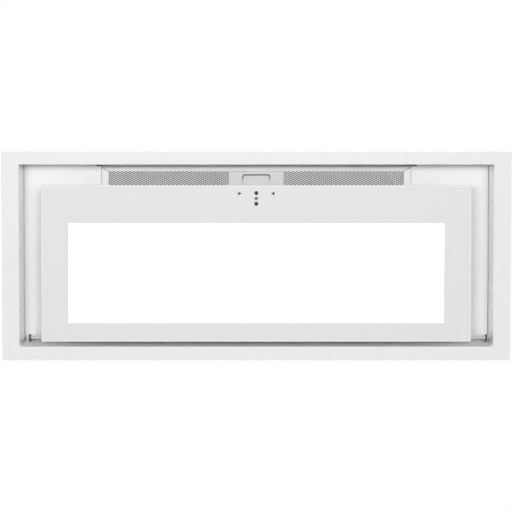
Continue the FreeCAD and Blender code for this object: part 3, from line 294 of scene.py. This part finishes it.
def mitred_rail(name, level):
    """Satin aluminium section with a fine grain, and a dark joint along each mitre at the corners."""
    made = Finish(name, {"Metallic": 0.04})
    low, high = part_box("filter_frame")
    from_side, from_end = made.insets(high.x, low.y, high.y - TAB_REACH)
    joint = 1 - abs(from_side * (RAIL_W / STILE_W) - from_end).ease(*MITRE_LINE)
    grain = made.noise(scale=600, rough=0.6)
    face = made.blend(grain, grey(level * 0.97), grey(level * 1.01, (1, 1, 1.004)))
    made.set({"Base Color": made.blend(joint, face, grey(0.25))})
    made.set({"Roughness": 0.32 + 0.12 * grain})
    made.relief(grain, depth=0.04 * MM, strength=0.2)
    return made


def ear_steel(name):
    """Hinge ear: a blackened lug, and a stem and foot painted white with the pocket that holds them."""
    made = Finish(name, {})
    stem = made.axis("Z").ease(*EAR_PAINT_EDGE)
    grain = made.noise(scale=500, rough=0.6)
    black = made.blend(grain, grey(0.08), grey(0.096))
    white = made.blend(grain, grey(0.94), grey(0.97))
    made.set({"Base Color": made.blend(stem, black, white)})
    made.set({"Roughness": 0.5 - 0.36 * stem + 0.08 * grain})
    made.relief(grain, depth=0.05 * MM, strength=0.2)
    return made


def moulded(name, colour, rough, grain=1400, depth=0.12 * MM):
    """Injection moulding: fine spark-eroded texture, slight flow clouding."""
    made = Finish(name, {"IOR": PLASTIC_IOR})
    made.set({"Base Color": made.blend(made.noise(scale=22), shade(colour, 0.97), shade(colour, 1.03))})
    made.set({"Roughness": rough - 0.04 + 0.08 * made.noise(scale=180)})
    made.relief(made.noise(scale=grain, detail=2), depth, strength=0.35)
    return made


def circuit(name):
    """Solder mask with lighter copper runs under it."""
    made = Finish(name, {"Roughness": 0.35})
    run = (made.axis("X") * COPPER_WAVES[0]).wave() * (made.axis("Y") * COPPER_WAVES[1]).wave()
    run = (run + 0.5 * made.noise(scale=120)).ease(0.45, 0.6)
    made.set({"Base Color": made.blend(run, (0.02, 0.12, 0.05, 1), (0.06, 0.24, 0.11, 1))})
    return made


def core_plates(name):
    """Stack of stamped sheets: fine dark lines across the shaft."""
    made = Finish(name, {"Metallic": 0.7, "Roughness": 0.5})
    plate = (made.axis("X") * (2 * math.pi / PLATE_PITCH)).wave().ease(-0.6, 0.6)
    made.set({"Base Color": made.blend(plate, (0.12, 0.12, 0.125, 1), (0.3, 0.3, 0.31, 1))})
    made.relief(plate, depth=0.1 * MM, strength=0.4)
    return made


FINISHES = {
    made.name: made
    for made in (
        enamel("white_enamel", 0.92, coat=1.0),
        # Whiter copies of the enamel for the recess floor and the rear rail: painted light that makes up for
        # the shade in the recess
        enamel("lit_floor_enamel", 0.955, coat=1.0),
        enamel("satin_enamel", 0.98, rough=0.5),
        enamel("pin_steel", 0.62),
        zinc_sheet("galvanised_sheet", 0.68),
        metal("zinc_fasteners", (0.66, 0.67, 0.69), 0.32),
        ear_steel("ear_steel"),
        moulded("white_plastic", (0.84, 0.84, 0.83), 0.42),
        metal("magnet_nickel", (0.7, 0.7, 0.71), 0.18),
        # 0.97 is the level of the painted highlight round the glass's edge
        glazing("white_glass", 0.85, 0.97),
        lamp_window("opal_window"),
        moulded("clear_acrylic", (0.86, 0.9, 0.9), 0.1, grain=300, depth=0.02 * MM),
        moulded("white_film", (0.92, 0.92, 0.92), 0.3, grain=300, depth=0.02 * MM),
        metal("led_board", (0.8, 0.8, 0.76), 0.4),
        circuit("circuit_board"),
        moulded("dark_lens", (0.045, 0.045, 0.048), 0.12, grain=200, depth=0.01 * MM),
        moulded("grey_lens", (0.24, 0.24, 0.25), 0.2, grain=200, depth=0.01 * MM),
        moulded("grey_ink", (0.09, 0.09, 0.09), 0.5, grain=900, depth=0.02 * MM),
        metal("filter_aluminium", (0.95, 0.95, 0.955), 0.42, metallic=0.1),
        metal("pad_aluminium", (0.3, 0.3, 0.305), 0.55, metallic=0.5),
        mitred_rail("rail_aluminium", 0.96),
        moulded("seal_white", (0.84, 0.84, 0.84), 0.6, grain=500, depth=0.1 * MM),
        # Dark rubber of the strip round the finger cup: a painted shadow
        moulded("seal_rubber", (0.24, 0.24, 0.24), 0.65, grain=700, depth=0.1 * MM),
        moulded("pull_plastic", (0.79, 0.79, 0.79), 0.4),
        metal("spring_steel", (0.5, 0.5, 0.52), 0.28, lines=(0.05, 1, 1)),
        moulded("scroll_plastic", (0.03, 0.03, 0.032), 0.5),
        moulded("wheel_plastic", (0.055, 0.055, 0.058), 0.45),
        metal("motor_aluminium", (0.6, 0.6, 0.61), 0.45),
        metal("bearing_bronze", (0.55, 0.38, 0.16), 0.4),
        core_plates("core_iron"),
        moulded("rubber_black", (0.02, 0.02, 0.02), 0.7, grain=700, depth=0.2 * MM),
        moulded("duct_plastic", (0.022, 0.022, 0.023), 0.42),
        moulded("box_plastic", (0.42, 0.42, 0.41), 0.48),
        moulded("capacitor_can", (0.6, 0.6, 0.58), 0.4),
        moulded("terminal_plastic", (0.72, 0.72, 0.66), 0.4),
        moulded("white_sheath", (0.74, 0.74, 0.72), 0.5, grain=600, depth=0.1 * MM),
        moulded("grey_sheath", (0.16, 0.16, 0.165), 0.5, grain=600, depth=0.1 * MM),
    )
}
OWN_FINISH = {
    # The recess floor and the rear rail take the whiter enamels, painted light for the shaded recess
    "base_plate": "lit_floor_enamel",
    "hinge_rail": "satin_enamel",
    "filter_core": "pad_aluminium",
    "filter_frame": "rail_aluminium",
    "hinge_ears": "ear_steel",
}


def dress(piece, finish):
    piece.data.materials.clear()
    piece.data.materials.append(FINISHES[finish].material)


for subpart in frame["record"]["subparts"]:
    node = subpart["node"]
    dress(frame["nodes"][node], OWN_FINISH.get(node, subpart["material_slot"]))


# Pieces
def mesh_piece(name, points, faces, finish, slot, body=None, smooth=True):
    """A piece from an array of points and a list of faces, given its finish and its body; its slot is not
    used.
    """
    mesh = bpy.data.meshes.new(name)
    mesh.from_pydata(points.tolist(), [], faces)
    mesh.polygons.foreach_set("use_smooth", np.full(len(mesh.polygons), smooth))
    mesh.update()
    piece = bpy.data.objects.new(name, mesh)
    bpy.context.scene.collection.objects.link(piece)
    dress(piece, finish)
    if body:
        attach(piece, body)
    return piece


def grid_faces(rows, columns, round_rows=False):
    """Quads of a grid of points whose rows are closed rings; its last row may join its first."""
    i, j = np.meshgrid(np.arange(rows if round_rows else rows - 1), np.arange(columns), indexing="ij")
    down, across = (i + 1) % rows, (j + 1) % columns
    corners = (i * columns + j, i * columns + across, down * columns + across, down * columns + j)
    return np.stack(corners, -1).reshape(-1, 4)


def capped(points, sides):
    """A tube of rings of so many points: its quads, and at both ends a fan round a middle point."""
    start = len(points)
    end = start - sides
    around = np.arange(sides)
    onward = (around + 1) % sides
    near = np.stack([np.full(sides, start), onward, around], -1)
    far = np.stack([np.full(sides, start + 1), end + around, end + onward], -1)
    middles = [points[:sides].mean(0), points[-sides:].mean(0)]
    faces = grid_faces(start // sides, sides).tolist() + near.tolist() + far.tolist()
    return np.vstack([points, middles]), faces


def joined(parts):
    """One array of points and one list of faces from several parts."""
    points, faces, start = [], [], 0
    for part_points, part_faces in parts:
        points.append(part_points)
        faces += [[start + index for index in face] for face in part_faces]
        start += len(part_points)
    return np.vstack(points), faces


def tube(path, side, radius, sides):
    """Circle carried along a path that stays square to side; its frame turns with the path's tangent.
    The radius is one number, or one for each point of the path."""
    tangent = np.gradient(path, axis=0)
    tangent /= np.linalg.norm(tangent, axis=1)[:, None]
    side = np.array(side, float)
    normal = np.cross(tangent, side)
    angle = np.linspace(0, 2 * np.pi, sides, endpoint=False)[None, :, None]
    radius = np.broadcast_to(radius, len(path))[:, None, None]
    rings = path[:, None, :] + radius * (np.cos(angle) * side + np.sin(angle) * normal[:, None, :])
    return capped(rings.reshape(-1, 3), sides)


BEAD_SINK = 0.2 * MM
BEAD_TIP_ANGLE = 0.08
BEAD_STEPS = 8
BEAD_SIDES = 11


def bead(start, end, outward, width, height):
    """Pressed bead: a half-ellipse carried from start to end. At both ends it shrinks along a quarter circle,
    from its full size to a small tip, and its flat back lies just below the sheet."""
    start, end, outward = (np.array(v, float) for v in (start, end, outward))
    along = (end - start) / np.linalg.norm(end - start)
    across = np.cross(outward, along)
    reach = (np.linalg.norm(end - start) - width) / 2
    swing = np.linspace(BEAD_TIP_ANGLE, np.pi / 2, BEAD_STEPS)
    offset = reach + width / 2 * np.cos(swing)
    offset = np.concatenate([-offset, offset[::-1]])[:, None, None]
    share = np.concatenate([np.sin(swing), np.sin(swing)[::-1]])[:, None, None]
    angle = np.linspace(0, np.pi, BEAD_SIDES)[None, :, None]
    section = width / 2 * np.cos(angle) * across + height * np.sin(angle) * outward
    rings = (start + end) / 2 - BEAD_SINK * outward + offset * along + share * section
    return capped(rings.reshape(-1, 3), BEAD_SIDES)


# Expanded-metal screen of the grease filter
LONG_WAY = 5.88 * MM
SHORT_WAY = 2.887 * MM
SCREEN_START = 0.75 * MM
SCREEN_COLUMNS = 40
SCREEN_ROWS = 50
SCREEN_MARGIN = 0.4 * MM
HOLE_SHARE = 0.7
STRAND_SLOPE = 0.15 * MM
PULL_OVERLAP = 4.0 * MM
WELD = 0.001 * MM


def screen_cells():
    """Centres of the rhombic cells: a grid, and the same grid moved half a cell both ways. Cells that pass
    the sheet's edge or lie under the pull are left out."""
    low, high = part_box("filter_mesh_lower")
    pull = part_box("filter_handle")[1]
    half = np.array([LONG_WAY, SHORT_WAY]) / 2
    columns = np.arange(-SCREEN_COLUMNS, SCREEN_COLUMNS + 1) * LONG_WAY
    rows = np.arange(-SCREEN_ROWS, SCREEN_ROWS + 1) * SHORT_WAY
    grid = np.stack(np.meshgrid(columns, rows, indexing="ij"), -1).reshape(-1, 2)
    cells = np.concatenate([grid, grid + half]) + [0, SCREEN_START]
    least = np.array(low.xy) + SCREEN_MARGIN + half
    most = np.array(high.xy) - SCREEN_MARGIN - half
    inside = ((cells >= least) & (cells <= most)).all(1)
    x, y = cells.T
    under_pull = (np.abs(x) < pull.x - PULL_OVERLAP) & (y < pull.y - PULL_OVERLAP)
    return cells[inside & ~under_pull]


def filter_screen(name, cells):
    """Each cell is a ring from its rhombus to its hole: the strands crest on the cell's outline on both
    faces, slope away to the hole's edge, and a wall joins the two edges. Along the sheet's rim a wall joins
    the crests."""
    low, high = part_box("filter_mesh_lower")
    tips = np.array([[1, 0], [0, 1], [-1, 0], [0, -1]]) * [LONG_WAY / 2, SHORT_WAY / 2]
    levels = [
        (1.0, low.z),
        (HOLE_SHARE, low.z + STRAND_SLOPE),
        (HOLE_SHARE, high.z - STRAND_SLOPE),
        (1.0, high.z),
    ]
    rings = []
    for share, z in levels:
        flat = cells[:, None, :] + share * tips[None, :, :]
        rings.append(np.concatenate([flat, np.full(flat.shape[:2] + (1,), z)], -1))
    points = np.stack(rings, 1).reshape(-1, 3)
    keys = np.round(points / WELD).astype(np.int64)
    kept, back = np.unique(keys, axis=0, return_inverse=True)
    corners = back.reshape(len(cells), -1)
    ring = grid_faces(len(levels), len(tips))[:, ::-1]
    lower, upper = corners[:, : len(tips)], corners[:, -len(tips) :]
    wall = np.stack([lower, np.roll(lower, -1, 1), np.roll(upper, -1, 1), upper], -1).reshape(-1, 4)
    shared = np.isin(wall[:, 0] * len(kept) + wall[:, 1], wall[:, 1] * len(kept) + wall[:, 0])
    faces = np.concatenate([corners[:, ring].reshape(-1, 4), wall[~shared]]).tolist()
    return mesh_piece(name, kept * WELD, faces, "filter_aluminium", "filter_aluminium", "housing", False)


screen = screen_cells()
left_screen = filter_screen("filter_screen_left", screen[screen[:, 0] < 0])
filter_screen("filter_screen_right", screen[screen[:, 0] >= 0])
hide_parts("filter_mesh_lower")

# Lead of the panel: one smooth spline from the clip on the housing to the clip on the panel
LEAD_D = 4.0 * MM
LEAD_SIDES = 16
LEAD_RUN = 10.0 * MM
LEAD_REACH = 25.0 * MM
LEAD_SINK = 2.0 * MM
LEAD_STEPS = 32


def spline_points(route):
    """Points of a NURBS curve of order 3 that starts and ends on its route's ends."""
    curve = bpy.data.curves.new("route", "CURVE")
    curve.dimensions = "3D"
    spline = curve.splines.new("NURBS")
    spline.points.add(len(route) - 1)
    for point, place in zip(spline.points, route):
        point.co = (*place, 1)
    spline.order_u = 3
    spline.use_endpoint_u = True
    spline.resolution_u = LEAD_STEPS
    holder = bpy.data.objects.new("route", curve)
    bpy.context.scene.collection.objects.link(holder)
    line = bpy.data.meshes.new_from_object(holder)
    points = np.array([v.co for v in line.vertices])
    bpy.data.objects.remove(holder)
    bpy.data.meshes.remove(line)
    bpy.data.curves.remove(curve)
    return points


def panel_flex():
    """Round lead that bends back on itself; its ends are held in the clips."""
    upper_clip, lower_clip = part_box("lead_clip_upper"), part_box("lead_clip_lower")
    y, high_z = sum(upper_clip, Vector()).yz / 2
    low_z = sum(lower_clip, Vector()).z / 2
    clip_x = upper_clip[1].x
    bend_x = clip_x + LEAD_RUN
    crest_x = clip_x + LEAD_REACH
    route = [
        (clip_x - LEAD_SINK, y, high_z),
        (bend_x, y, high_z),
        (crest_x, y, high_z),
        (crest_x, y, low_z),
        (bend_x, y, low_z),
        (clip_x - LEAD_SINK, y, low_z),
    ]
    lead = tube(spline_points(route), (0, 1, 0), LEAD_D / 2, LEAD_SIDES)
    piece = mesh_piece("panel_flex", *lead, "white_sheath", "white_sheath")
    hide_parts("panel_lead")
    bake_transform(piece)


panel_flex()

# Leaf spring of the filter latch
LEAF_T = 0.5 * MM
LEAF_STEPS = 33


def leaf_spring():
    """Strip bowed along a circle through its crown and its two ends: y = crown + R - sqrt(R^2 - x^2)."""
    low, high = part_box("latch_spring")
    bow = high.y - low.y - LEAF_T
    radius = (high.x**2 + bow**2) / (2 * bow)
    x = np.linspace(low.x, high.x, LEAF_STEPS)
    y = low.y + radius - np.sqrt(radius**2 - x**2)
    corners = ((0, low.z), (LEAF_T, low.z), (LEAF_T, high.z), (0, high.z))
    rings = np.stack([np.stack([x, y + thick, np.full_like(x, z)], -1) for thick, z in corners], 1)
    points, faces = capped(rings.reshape(-1, 3), len(corners))
    piece = mesh_piece("latch_leaf", points, faces, "spring_steel", "spring_steel", "housing", False)
    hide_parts("latch_spring")
    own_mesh(piece)


leaf_spring()

# Seals: strips by the filter and the floor's sides, beads at the rear corners; and round the finger cup a
# dark strip, a painted shadow along its mouth
SHADOW_STRIP_D = 1.7 * MM
SHADOW_STRIP_TIP_D = 0.3 * MM
SHADOW_STRIP_RISE = 1.3 * MM
SHADOW_STRIP_LEG = 6.0 * MM
CUP_HALF = 20.2 * MM
CUP_CORNER = 3.0 * MM
CUP_WALL = 3.85 * MM
SEAL_LEFT_D = 1.0 * MM
SEAL_RIGHT_D = 0.6 * MM
FLOOR_GAP = 1.0 * MM
FRONT_SEAL_D = 2.2 * MM
CORNER_SEAL_D = 3.0 * MM
RAIL_LEAN = 5.5 * MM
SEAL_FREE = 0.25 * MM
ROUND_STEPS = 9
STRIP_STEPS = 3
FINE_SIDES = 8


def cup_shadow_strip():
    """Dark round strip, a painted shadow along the front of the cup: a straight run between two quarter
    circles, and beyond them two legs along the sides that thin out to their tips."""
    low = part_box("filter_handle")[0]
    inset = SHADOW_STRIP_D / 2
    bend = CUP_CORNER - inset
    front = low.y + CUP_WALL + inset
    swing = np.linspace(0, np.pi / 2, ROUND_STEPS)
    along = np.linspace(1, 0, ROUND_STEPS)[:-1]
    x = CUP_HALF - inset - bend + bend * np.cos(swing)
    y = front + bend - bend * np.sin(swing)
    x = np.concatenate([np.full_like(along, CUP_HALF - inset), x])
    y = np.concatenate([front + bend + SHADOW_STRIP_LEG * along, y])
    wide = np.concatenate([SHADOW_STRIP_D + (SHADOW_STRIP_TIP_D - SHADOW_STRIP_D) * along, np.full_like(swing, SHADOW_STRIP_D)])
    path = np.stack([x, y, np.full_like(x, low.z + SHADOW_STRIP_RISE)], -1)
    path = np.concatenate([path, path[::-1] * (-1, 1, 1)])
    return tube(path, (0, 0, 1), np.concatenate([wide, wide[::-1]]) / 2, FINE_SIDES)


def strip(start, end, side, wide):
    """Round strip, straight from start to end and square to side."""
    return tube(np.linspace(start, end, STRIP_STEPS), side, wide / 2, FINE_SIDES)


def front_seal():
    """Round strip in the gap between the front wall and the filter."""
    low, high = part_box("filter_frame")
    y = low.y - FRONT_SEAL_D / 2 - SEAL_FREE
    z = low.z + FRONT_SEAL_D / 2 + SEAL_FREE
    return strip((low.x, y, z), (high.x, y, z), (0, 1, 0), FRONT_SEAL_D)


def floor_seals():
    """Round strips in the gaps between the floor and the side walls; the left one fills its gap."""
    low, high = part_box("base_plate")
    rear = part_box("hinge_rail")[0].y
    parts = []
    for way, wide in ((-1, SEAL_LEFT_D), (1, SEAL_RIGHT_D)):
        x = way * (high.x + FLOOR_GAP / 2)
        z = low.z + wide / 2
        parts.append(strip((x, low.y, z), (x, rear, z), (1, 0, 0), wide))
    return joined(parts)


def corner_seals():
    """Bead of sealant down each end of the leaning rear wall."""
    low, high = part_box("hinge_rail")
    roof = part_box("base_plate")[0].z
    parts = []
    for x in (-high.x, high.x):
        parts.append(strip((x, low.y + RAIL_LEAN, low.z), (x, low.y, roof), (1, 0, 0), CORNER_SEAL_D))
    return joined(parts)


mesh_piece("front_seal", *front_seal(), "seal_white", "white_sheath", "housing")
# Dark strip round the finger cup, a painted shadow
mesh_piece("cup_shadow_strip", *cup_shadow_strip(), "seal_rubber", "rubber_black", "housing")
mesh_piece("floor_seals", *floor_seals(), "seal_white", "white_sheath", "housing")
mesh_piece("corner_seals", *corner_seals(), "seal_white", "white_sheath", "housing")

# Pressed beads that stiffen the sheet metal; their lanes are shares of the way across a wall or roof
BEAD_W = 12 * MM
BEAD_H = 2.2 * MM
BEAD_EDGE = 34 * MM
SKIRT_T = 1.0 * MM
BOX_LANES = (0.36, 0.68)
PLENUM_LANES = (0.5,)
WING_LANES = (0.2, 0.5, 0.8)
TRAY_LANES = (0.36, 0.7)
TRAY_BEAD_H = 1.0 * MM
TRAY_EDGE = 68 * MM


def between(low, high, lanes):
    """Places at given shares of the way from low to high."""
    return [low + share * (high - low) for share in lanes]


def wall_beads(low, high, lanes, edge):
    """Level beads on the front and rear walls of a box."""
    return [
        bead((low.x + edge, y, z), (high.x - edge, y, z), (0, way, 0), BEAD_W, BEAD_H)
        for y, way in ((low.y, -1), (high.y, 1))
        for z in between(low.z, high.z, lanes)
    ]


def roof_bead(low, high, x):
    """Bead from front to rear on the roof of a box."""
    return bead((x, low.y + BEAD_EDGE, high.z), (x, high.y - BEAD_EDGE, high.z), (0, 0, 1), BEAD_W, BEAD_H)


def motor_box_beads():
    """Two level beads on each of the four walls; the side walls stand just inside the cover's skirt."""
    low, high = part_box("motor_housing")
    wall_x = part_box("motor_cover")[1].x - SKIRT_T
    parts = wall_beads(low, high, BOX_LANES, BEAD_EDGE + high.x - wall_x)
    for way in (-1, 1):
        for z in between(low.z, high.z, BOX_LANES):
            ends = [(way * wall_x, y, z) for y in (low.y + BEAD_EDGE, high.y - BEAD_EDGE)]
            parts.append(bead(*ends, (way, 0, 0), BEAD_W, BEAD_H))
    return joined(parts)


def plenum_beads():
    """A long bead on the front and rear walls, and three across the free wing of the roof."""
    low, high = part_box("plenum_shell")
    wing_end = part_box("motor_housing")[0].x
    wing = [roof_bead(low, high, x) for x in between(low.x, wing_end, WING_LANES)]
    return joined(wall_beads(low, high, PLENUM_LANES, BEAD_EDGE) + wing)


def cover_beads():
    """A bead along each side of the cover's roof."""
    low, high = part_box("motor_cover")
    return joined([roof_bead(low, high, way * (high.x - BEAD_EDGE)) for way in (-1, 1)])


def tray_beads():
    """Two flat beads along the back of the panel."""
    low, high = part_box("panel_tray")
    left, right = low.x + TRAY_EDGE, high.x - TRAY_EDGE
    return joined([
        bead((left, y, high.z), (right, y, high.z), (0, 0, 1), BEAD_W, TRAY_BEAD_H)
        for y in between(low.y, high.y, TRAY_LANES)
    ])


mesh_piece("motor_box_beads", *motor_box_beads(), "galvanised_sheet", "galvanised_sheet", "housing")
mesh_piece("plenum_beads", *plenum_beads(), "galvanised_sheet", "galvanised_sheet", "housing")
mesh_piece("cover_beads", *cover_beads(), "galvanised_sheet", "galvanised_sheet", "housing")
mesh_piece("tray_beads", *tray_beads(), "white_enamel", "white_enamel", "panel")

# Mouldings on the electrics and the duct collar
RIB_W = 2.4 * MM
RIB_H = 1.1 * MM
LID_RIBS = 7
LID_FREE_LANES = 2
LID_EDGE_SHARE = 0.18
NUT_GRIPS = 18
NUT_GRIP_STEPS = 6
NUT_SWELL = 0.45 * MM
NUT_SHARES = (0.4, 0.45, 0.8, 0.85)
GUSSET_L = 11.0 * MM
GUSSET_H = 14.0 * MM
GUSSET_T = 2.4 * MM
GUSSET_SINK = 0.5 * MM
COLLAR_R = 74.5 * MM
COLLAR_FLANGE_T = 3.0 * MM
FLAP_T = 1.5 * MM
FLAP_RIB_X = (-52 * MM, -26 * MM, 0.0, 26 * MM, 52 * MM)
FLAP_RIB_START = 7.0 * MM
FLAP_RIB_MARGIN = 6.0 * MM


def lid_ribs():
    """Even ribs across the lid; the lanes at its front and rear are left free."""
    low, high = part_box("control_lid")
    edge = LID_EDGE_SHARE * (high.x - low.x)
    lanes = np.linspace(low.y, high.y, LID_RIBS + 2 * LID_FREE_LANES)[LID_FREE_LANES:-LID_FREE_LANES]
    left, right = low.x + edge, high.x - edge
    return joined([bead((left, y, high.z), (right, y, high.z), (0, 0, 1), RIB_W, RIB_H) for y in lanes])


def gland_nut():
    """Grip sleeve of the gland: a closed profile of radius and distance along the gland, carried round its
    axis. The outer radius swells and falls back once per grip, as a cosine."""
    low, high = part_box("cable_gland")
    run = high.y - low.y
    centre = np.array([(low.x + high.x) / 2, low.y, (low.z + high.z) / 2])
    bore = (high.x - low.x) / 2 - BEAD_SINK
    rim = (high.x - low.x) / 2 + NUT_SWELL
    start, slope_end, slope_start, end = (share * run for share in NUT_SHARES)
    radius = np.array([bore, rim, rim + NUT_SWELL, rim + NUT_SWELL, rim, bore])
    along = np.array([start, start, slope_end, slope_start, end, end])
    angle = np.linspace(0, 2 * np.pi, NUT_GRIPS * NUT_GRIP_STEPS, endpoint=False)
    swell = np.outer(radius > bore, NUT_SWELL * np.cos(NUT_GRIPS * angle))
    spokes = np.stack([-np.sin(angle), np.zeros_like(angle), -np.cos(angle)], -1)
    points = centre + (radius[:, None] + swell)[:, :, None] * spokes + np.outer(along, (0, 1, 0))[:, None, :]
    return points.reshape(-1, 3), grid_faces(len(radius), len(angle), round_rows=True).tolist()


def collar_gussets():
    """Four webs from the collar's wall to the corners of its flange: each is a triangle with a rounded-in
    edge, whose height grows with the square of the way inward, drawn out to its thickness."""
    low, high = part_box("outlet_collar")
    centre = np.array([0, (low.y + high.y) / 2, low.z + COLLAR_FLANGE_T - GUSSET_SINK])
    share = np.linspace(0, 1, ROUND_STEPS)
    out = np.concatenate([[-GUSSET_SINK], GUSSET_L * (1 - share), [-GUSSET_SINK]])
    rise = np.concatenate([[0.0], GUSSET_H * share**2, [GUSSET_H]])
    parts = []
    for quarter in range(4):
        angle = np.pi / 4 + quarter * np.pi / 2
        outward = np.array([np.cos(angle), np.sin(angle), 0])
        across = np.array([-np.sin(angle), np.cos(angle), 0])
        edge = centre + np.outer(COLLAR_R + out, outward) + np.outer(rise, (0, 0, 1))
        rings = np.concatenate([edge + GUSSET_T / 2 * across, edge - GUSSET_T / 2 * across])
        near, far = np.arange(len(rings)).reshape(2, -1).tolist()
        parts.append((rings, grid_faces(2, len(edge)).tolist() + [near[::-1], far]))
    return joined(parts)


def flap_ribs(node, side):
    """Ribs across the half disc of a flap, from near its knuckles to a margin inside its round edge, which
    lies sqrt(R^2 - x^2) from the hinge."""
    low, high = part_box(node)
    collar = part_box("outlet_collar")
    hinge_y = (collar[0].y + collar[1].y) / 2
    z = (low.z + high.z) / 2 + FLAP_T / 2
    ribs = []
    for x in FLAP_RIB_X:
        end = math.sqrt(high.x**2 - x**2) - FLAP_RIB_MARGIN
        ends = [(x, hinge_y + side * reach, z) for reach in (FLAP_RIB_START, end)]
        ribs.append(bead(*ends, (0, 0, 1), RIB_W, RIB_H))
    return joined(ribs)


mesh_piece("collar_gussets", *collar_gussets(), "duct_plastic", "duct_plastic", "housing", False)
mesh_piece("flap_front_ribs", *flap_ribs("flap_front", -1), "duct_plastic", "duct_plastic", "front_flap")
mesh_piece("flap_rear_ribs", *flap_ribs("flap_rear", 1), "duct_plastic", "duct_plastic", "rear_flap")
mesh_piece("lid_ribs", *lid_ribs(), "box_plastic", "box_plastic", "housing")
mesh_piece("gland_nut", *gland_nut(), "box_plastic", "box_plastic", "housing")

# Stage: a white surround, and a pale floor that shows as white far away
AMBIENT = 0.32
WHITE = (1, 1, 1, 1)
FLOOR_Z = -2.6
FLOOR_REACH = 14.0
FLOOR_LEVEL = 0.45
FLOOR_GLOW = 0.75
FLOOR_FADE = (2.0, 7.0)


def surround():
    """World that is plain white to look at, and lights the object less strongly than that."""
    world = bpy.data.worlds.new("studio")
    bpy.context.scene.world = world
    world.use_nodes = True
    sky = Nodes(world.node_tree)
    light = sky.node("ShaderNodeBackground", {}, {"Color": WHITE, "Strength": AMBIENT})
    backdrop = sky.node("ShaderNodeBackground", {}, {"Color": WHITE, "Strength": 1.0})
    mix = sky.node("ShaderNodeMixShader", {}, [sky.shown_directly(), light, backdrop])
    sky.feed(sky.tree.nodes["World Output"].inputs["Surface"], mix)


def pale_floor():
    """Square floor far below; to look at, it glows, and more so away from the middle."""
    corners = [(x * FLOOR_REACH, y * FLOOR_REACH, FLOOR_Z) for x, y in ((-1, -1), (1, -1), (1, 1), (-1, 1))]
    mesh = bpy.data.meshes.new("floor")
    mesh.from_pydata(corners, [], [(0, 1, 2, 3)])
    floor = bpy.data.objects.new("floor", mesh)
    bpy.context.scene.collection.objects.link(floor)
    made = Finish("pale_floor", {"Roughness": 0.9, "Base Color": grey(FLOOR_LEVEL)})
    mesh.materials.append(made.material)
    away = (made.axis("X") ** 2 + made.axis("Y") ** 2) ** 0.5
    glow_share = FLOOR_GLOW + (1 - FLOOR_GLOW) * away.ease(*FLOOR_FADE)
    glow_share = glow_share * made.shown_directly()
    glow = made.node("ShaderNodeEmission", {}, {})
    lit = Tone(made, made.shader.outputs[0])
    mix = made.node("ShaderNodeMixShader", {}, [glow_share, lit, glow])
    made.feed(made.tree.nodes["Material Output"].inputs["Surface"], mix)


surround()
pale_floor()

# Lamps: one below for the view of the photo, one above and four round about for the other sides
SIDE_LAMPS = {
    "front": (0.6, -3, 0.7),
    "rear": (-0.6, 3, 0.7),
    "left": (-3, -0.6, 0.7),
    "right": (3, 0.6, 0.7),
}


def softbox(name, place, aim, size, power):
    """Rectangular lamp at a place, turned to an aim."""
    lamp = bpy.data.lights.new(name, "AREA")
    lamp.shape = "RECTANGLE"
    lamp.size, lamp.size_y = size
    lamp.energy = power
    holder = bpy.data.objects.new(name, lamp)
    bpy.context.scene.collection.objects.link(holder)
    toward = (Vector(aim) - Vector(place)).to_track_quat("-Z", "Y")
    holder.matrix_world = Matrix.Translation(Vector(place)) @ toward.to_matrix().to_4x4()
    holder.visible_glossy = False
    holder.visible_camera = False


softbox("softbox_below", place=(-0.05, -0.3, -2.3), aim=(0, 0, 0), size=(1.8, 0.45), power=38)
softbox("softbox_above", place=(0.3, -0.6, 2.6), aim=(0, 0, 0.2), size=(2.5, 2.0), power=30)
for side, place in SIDE_LAMPS.items():
    softbox(f"softbox_{side}", place, aim=(0, 0, 0.1), size=(2.4, 1.6), power=29)
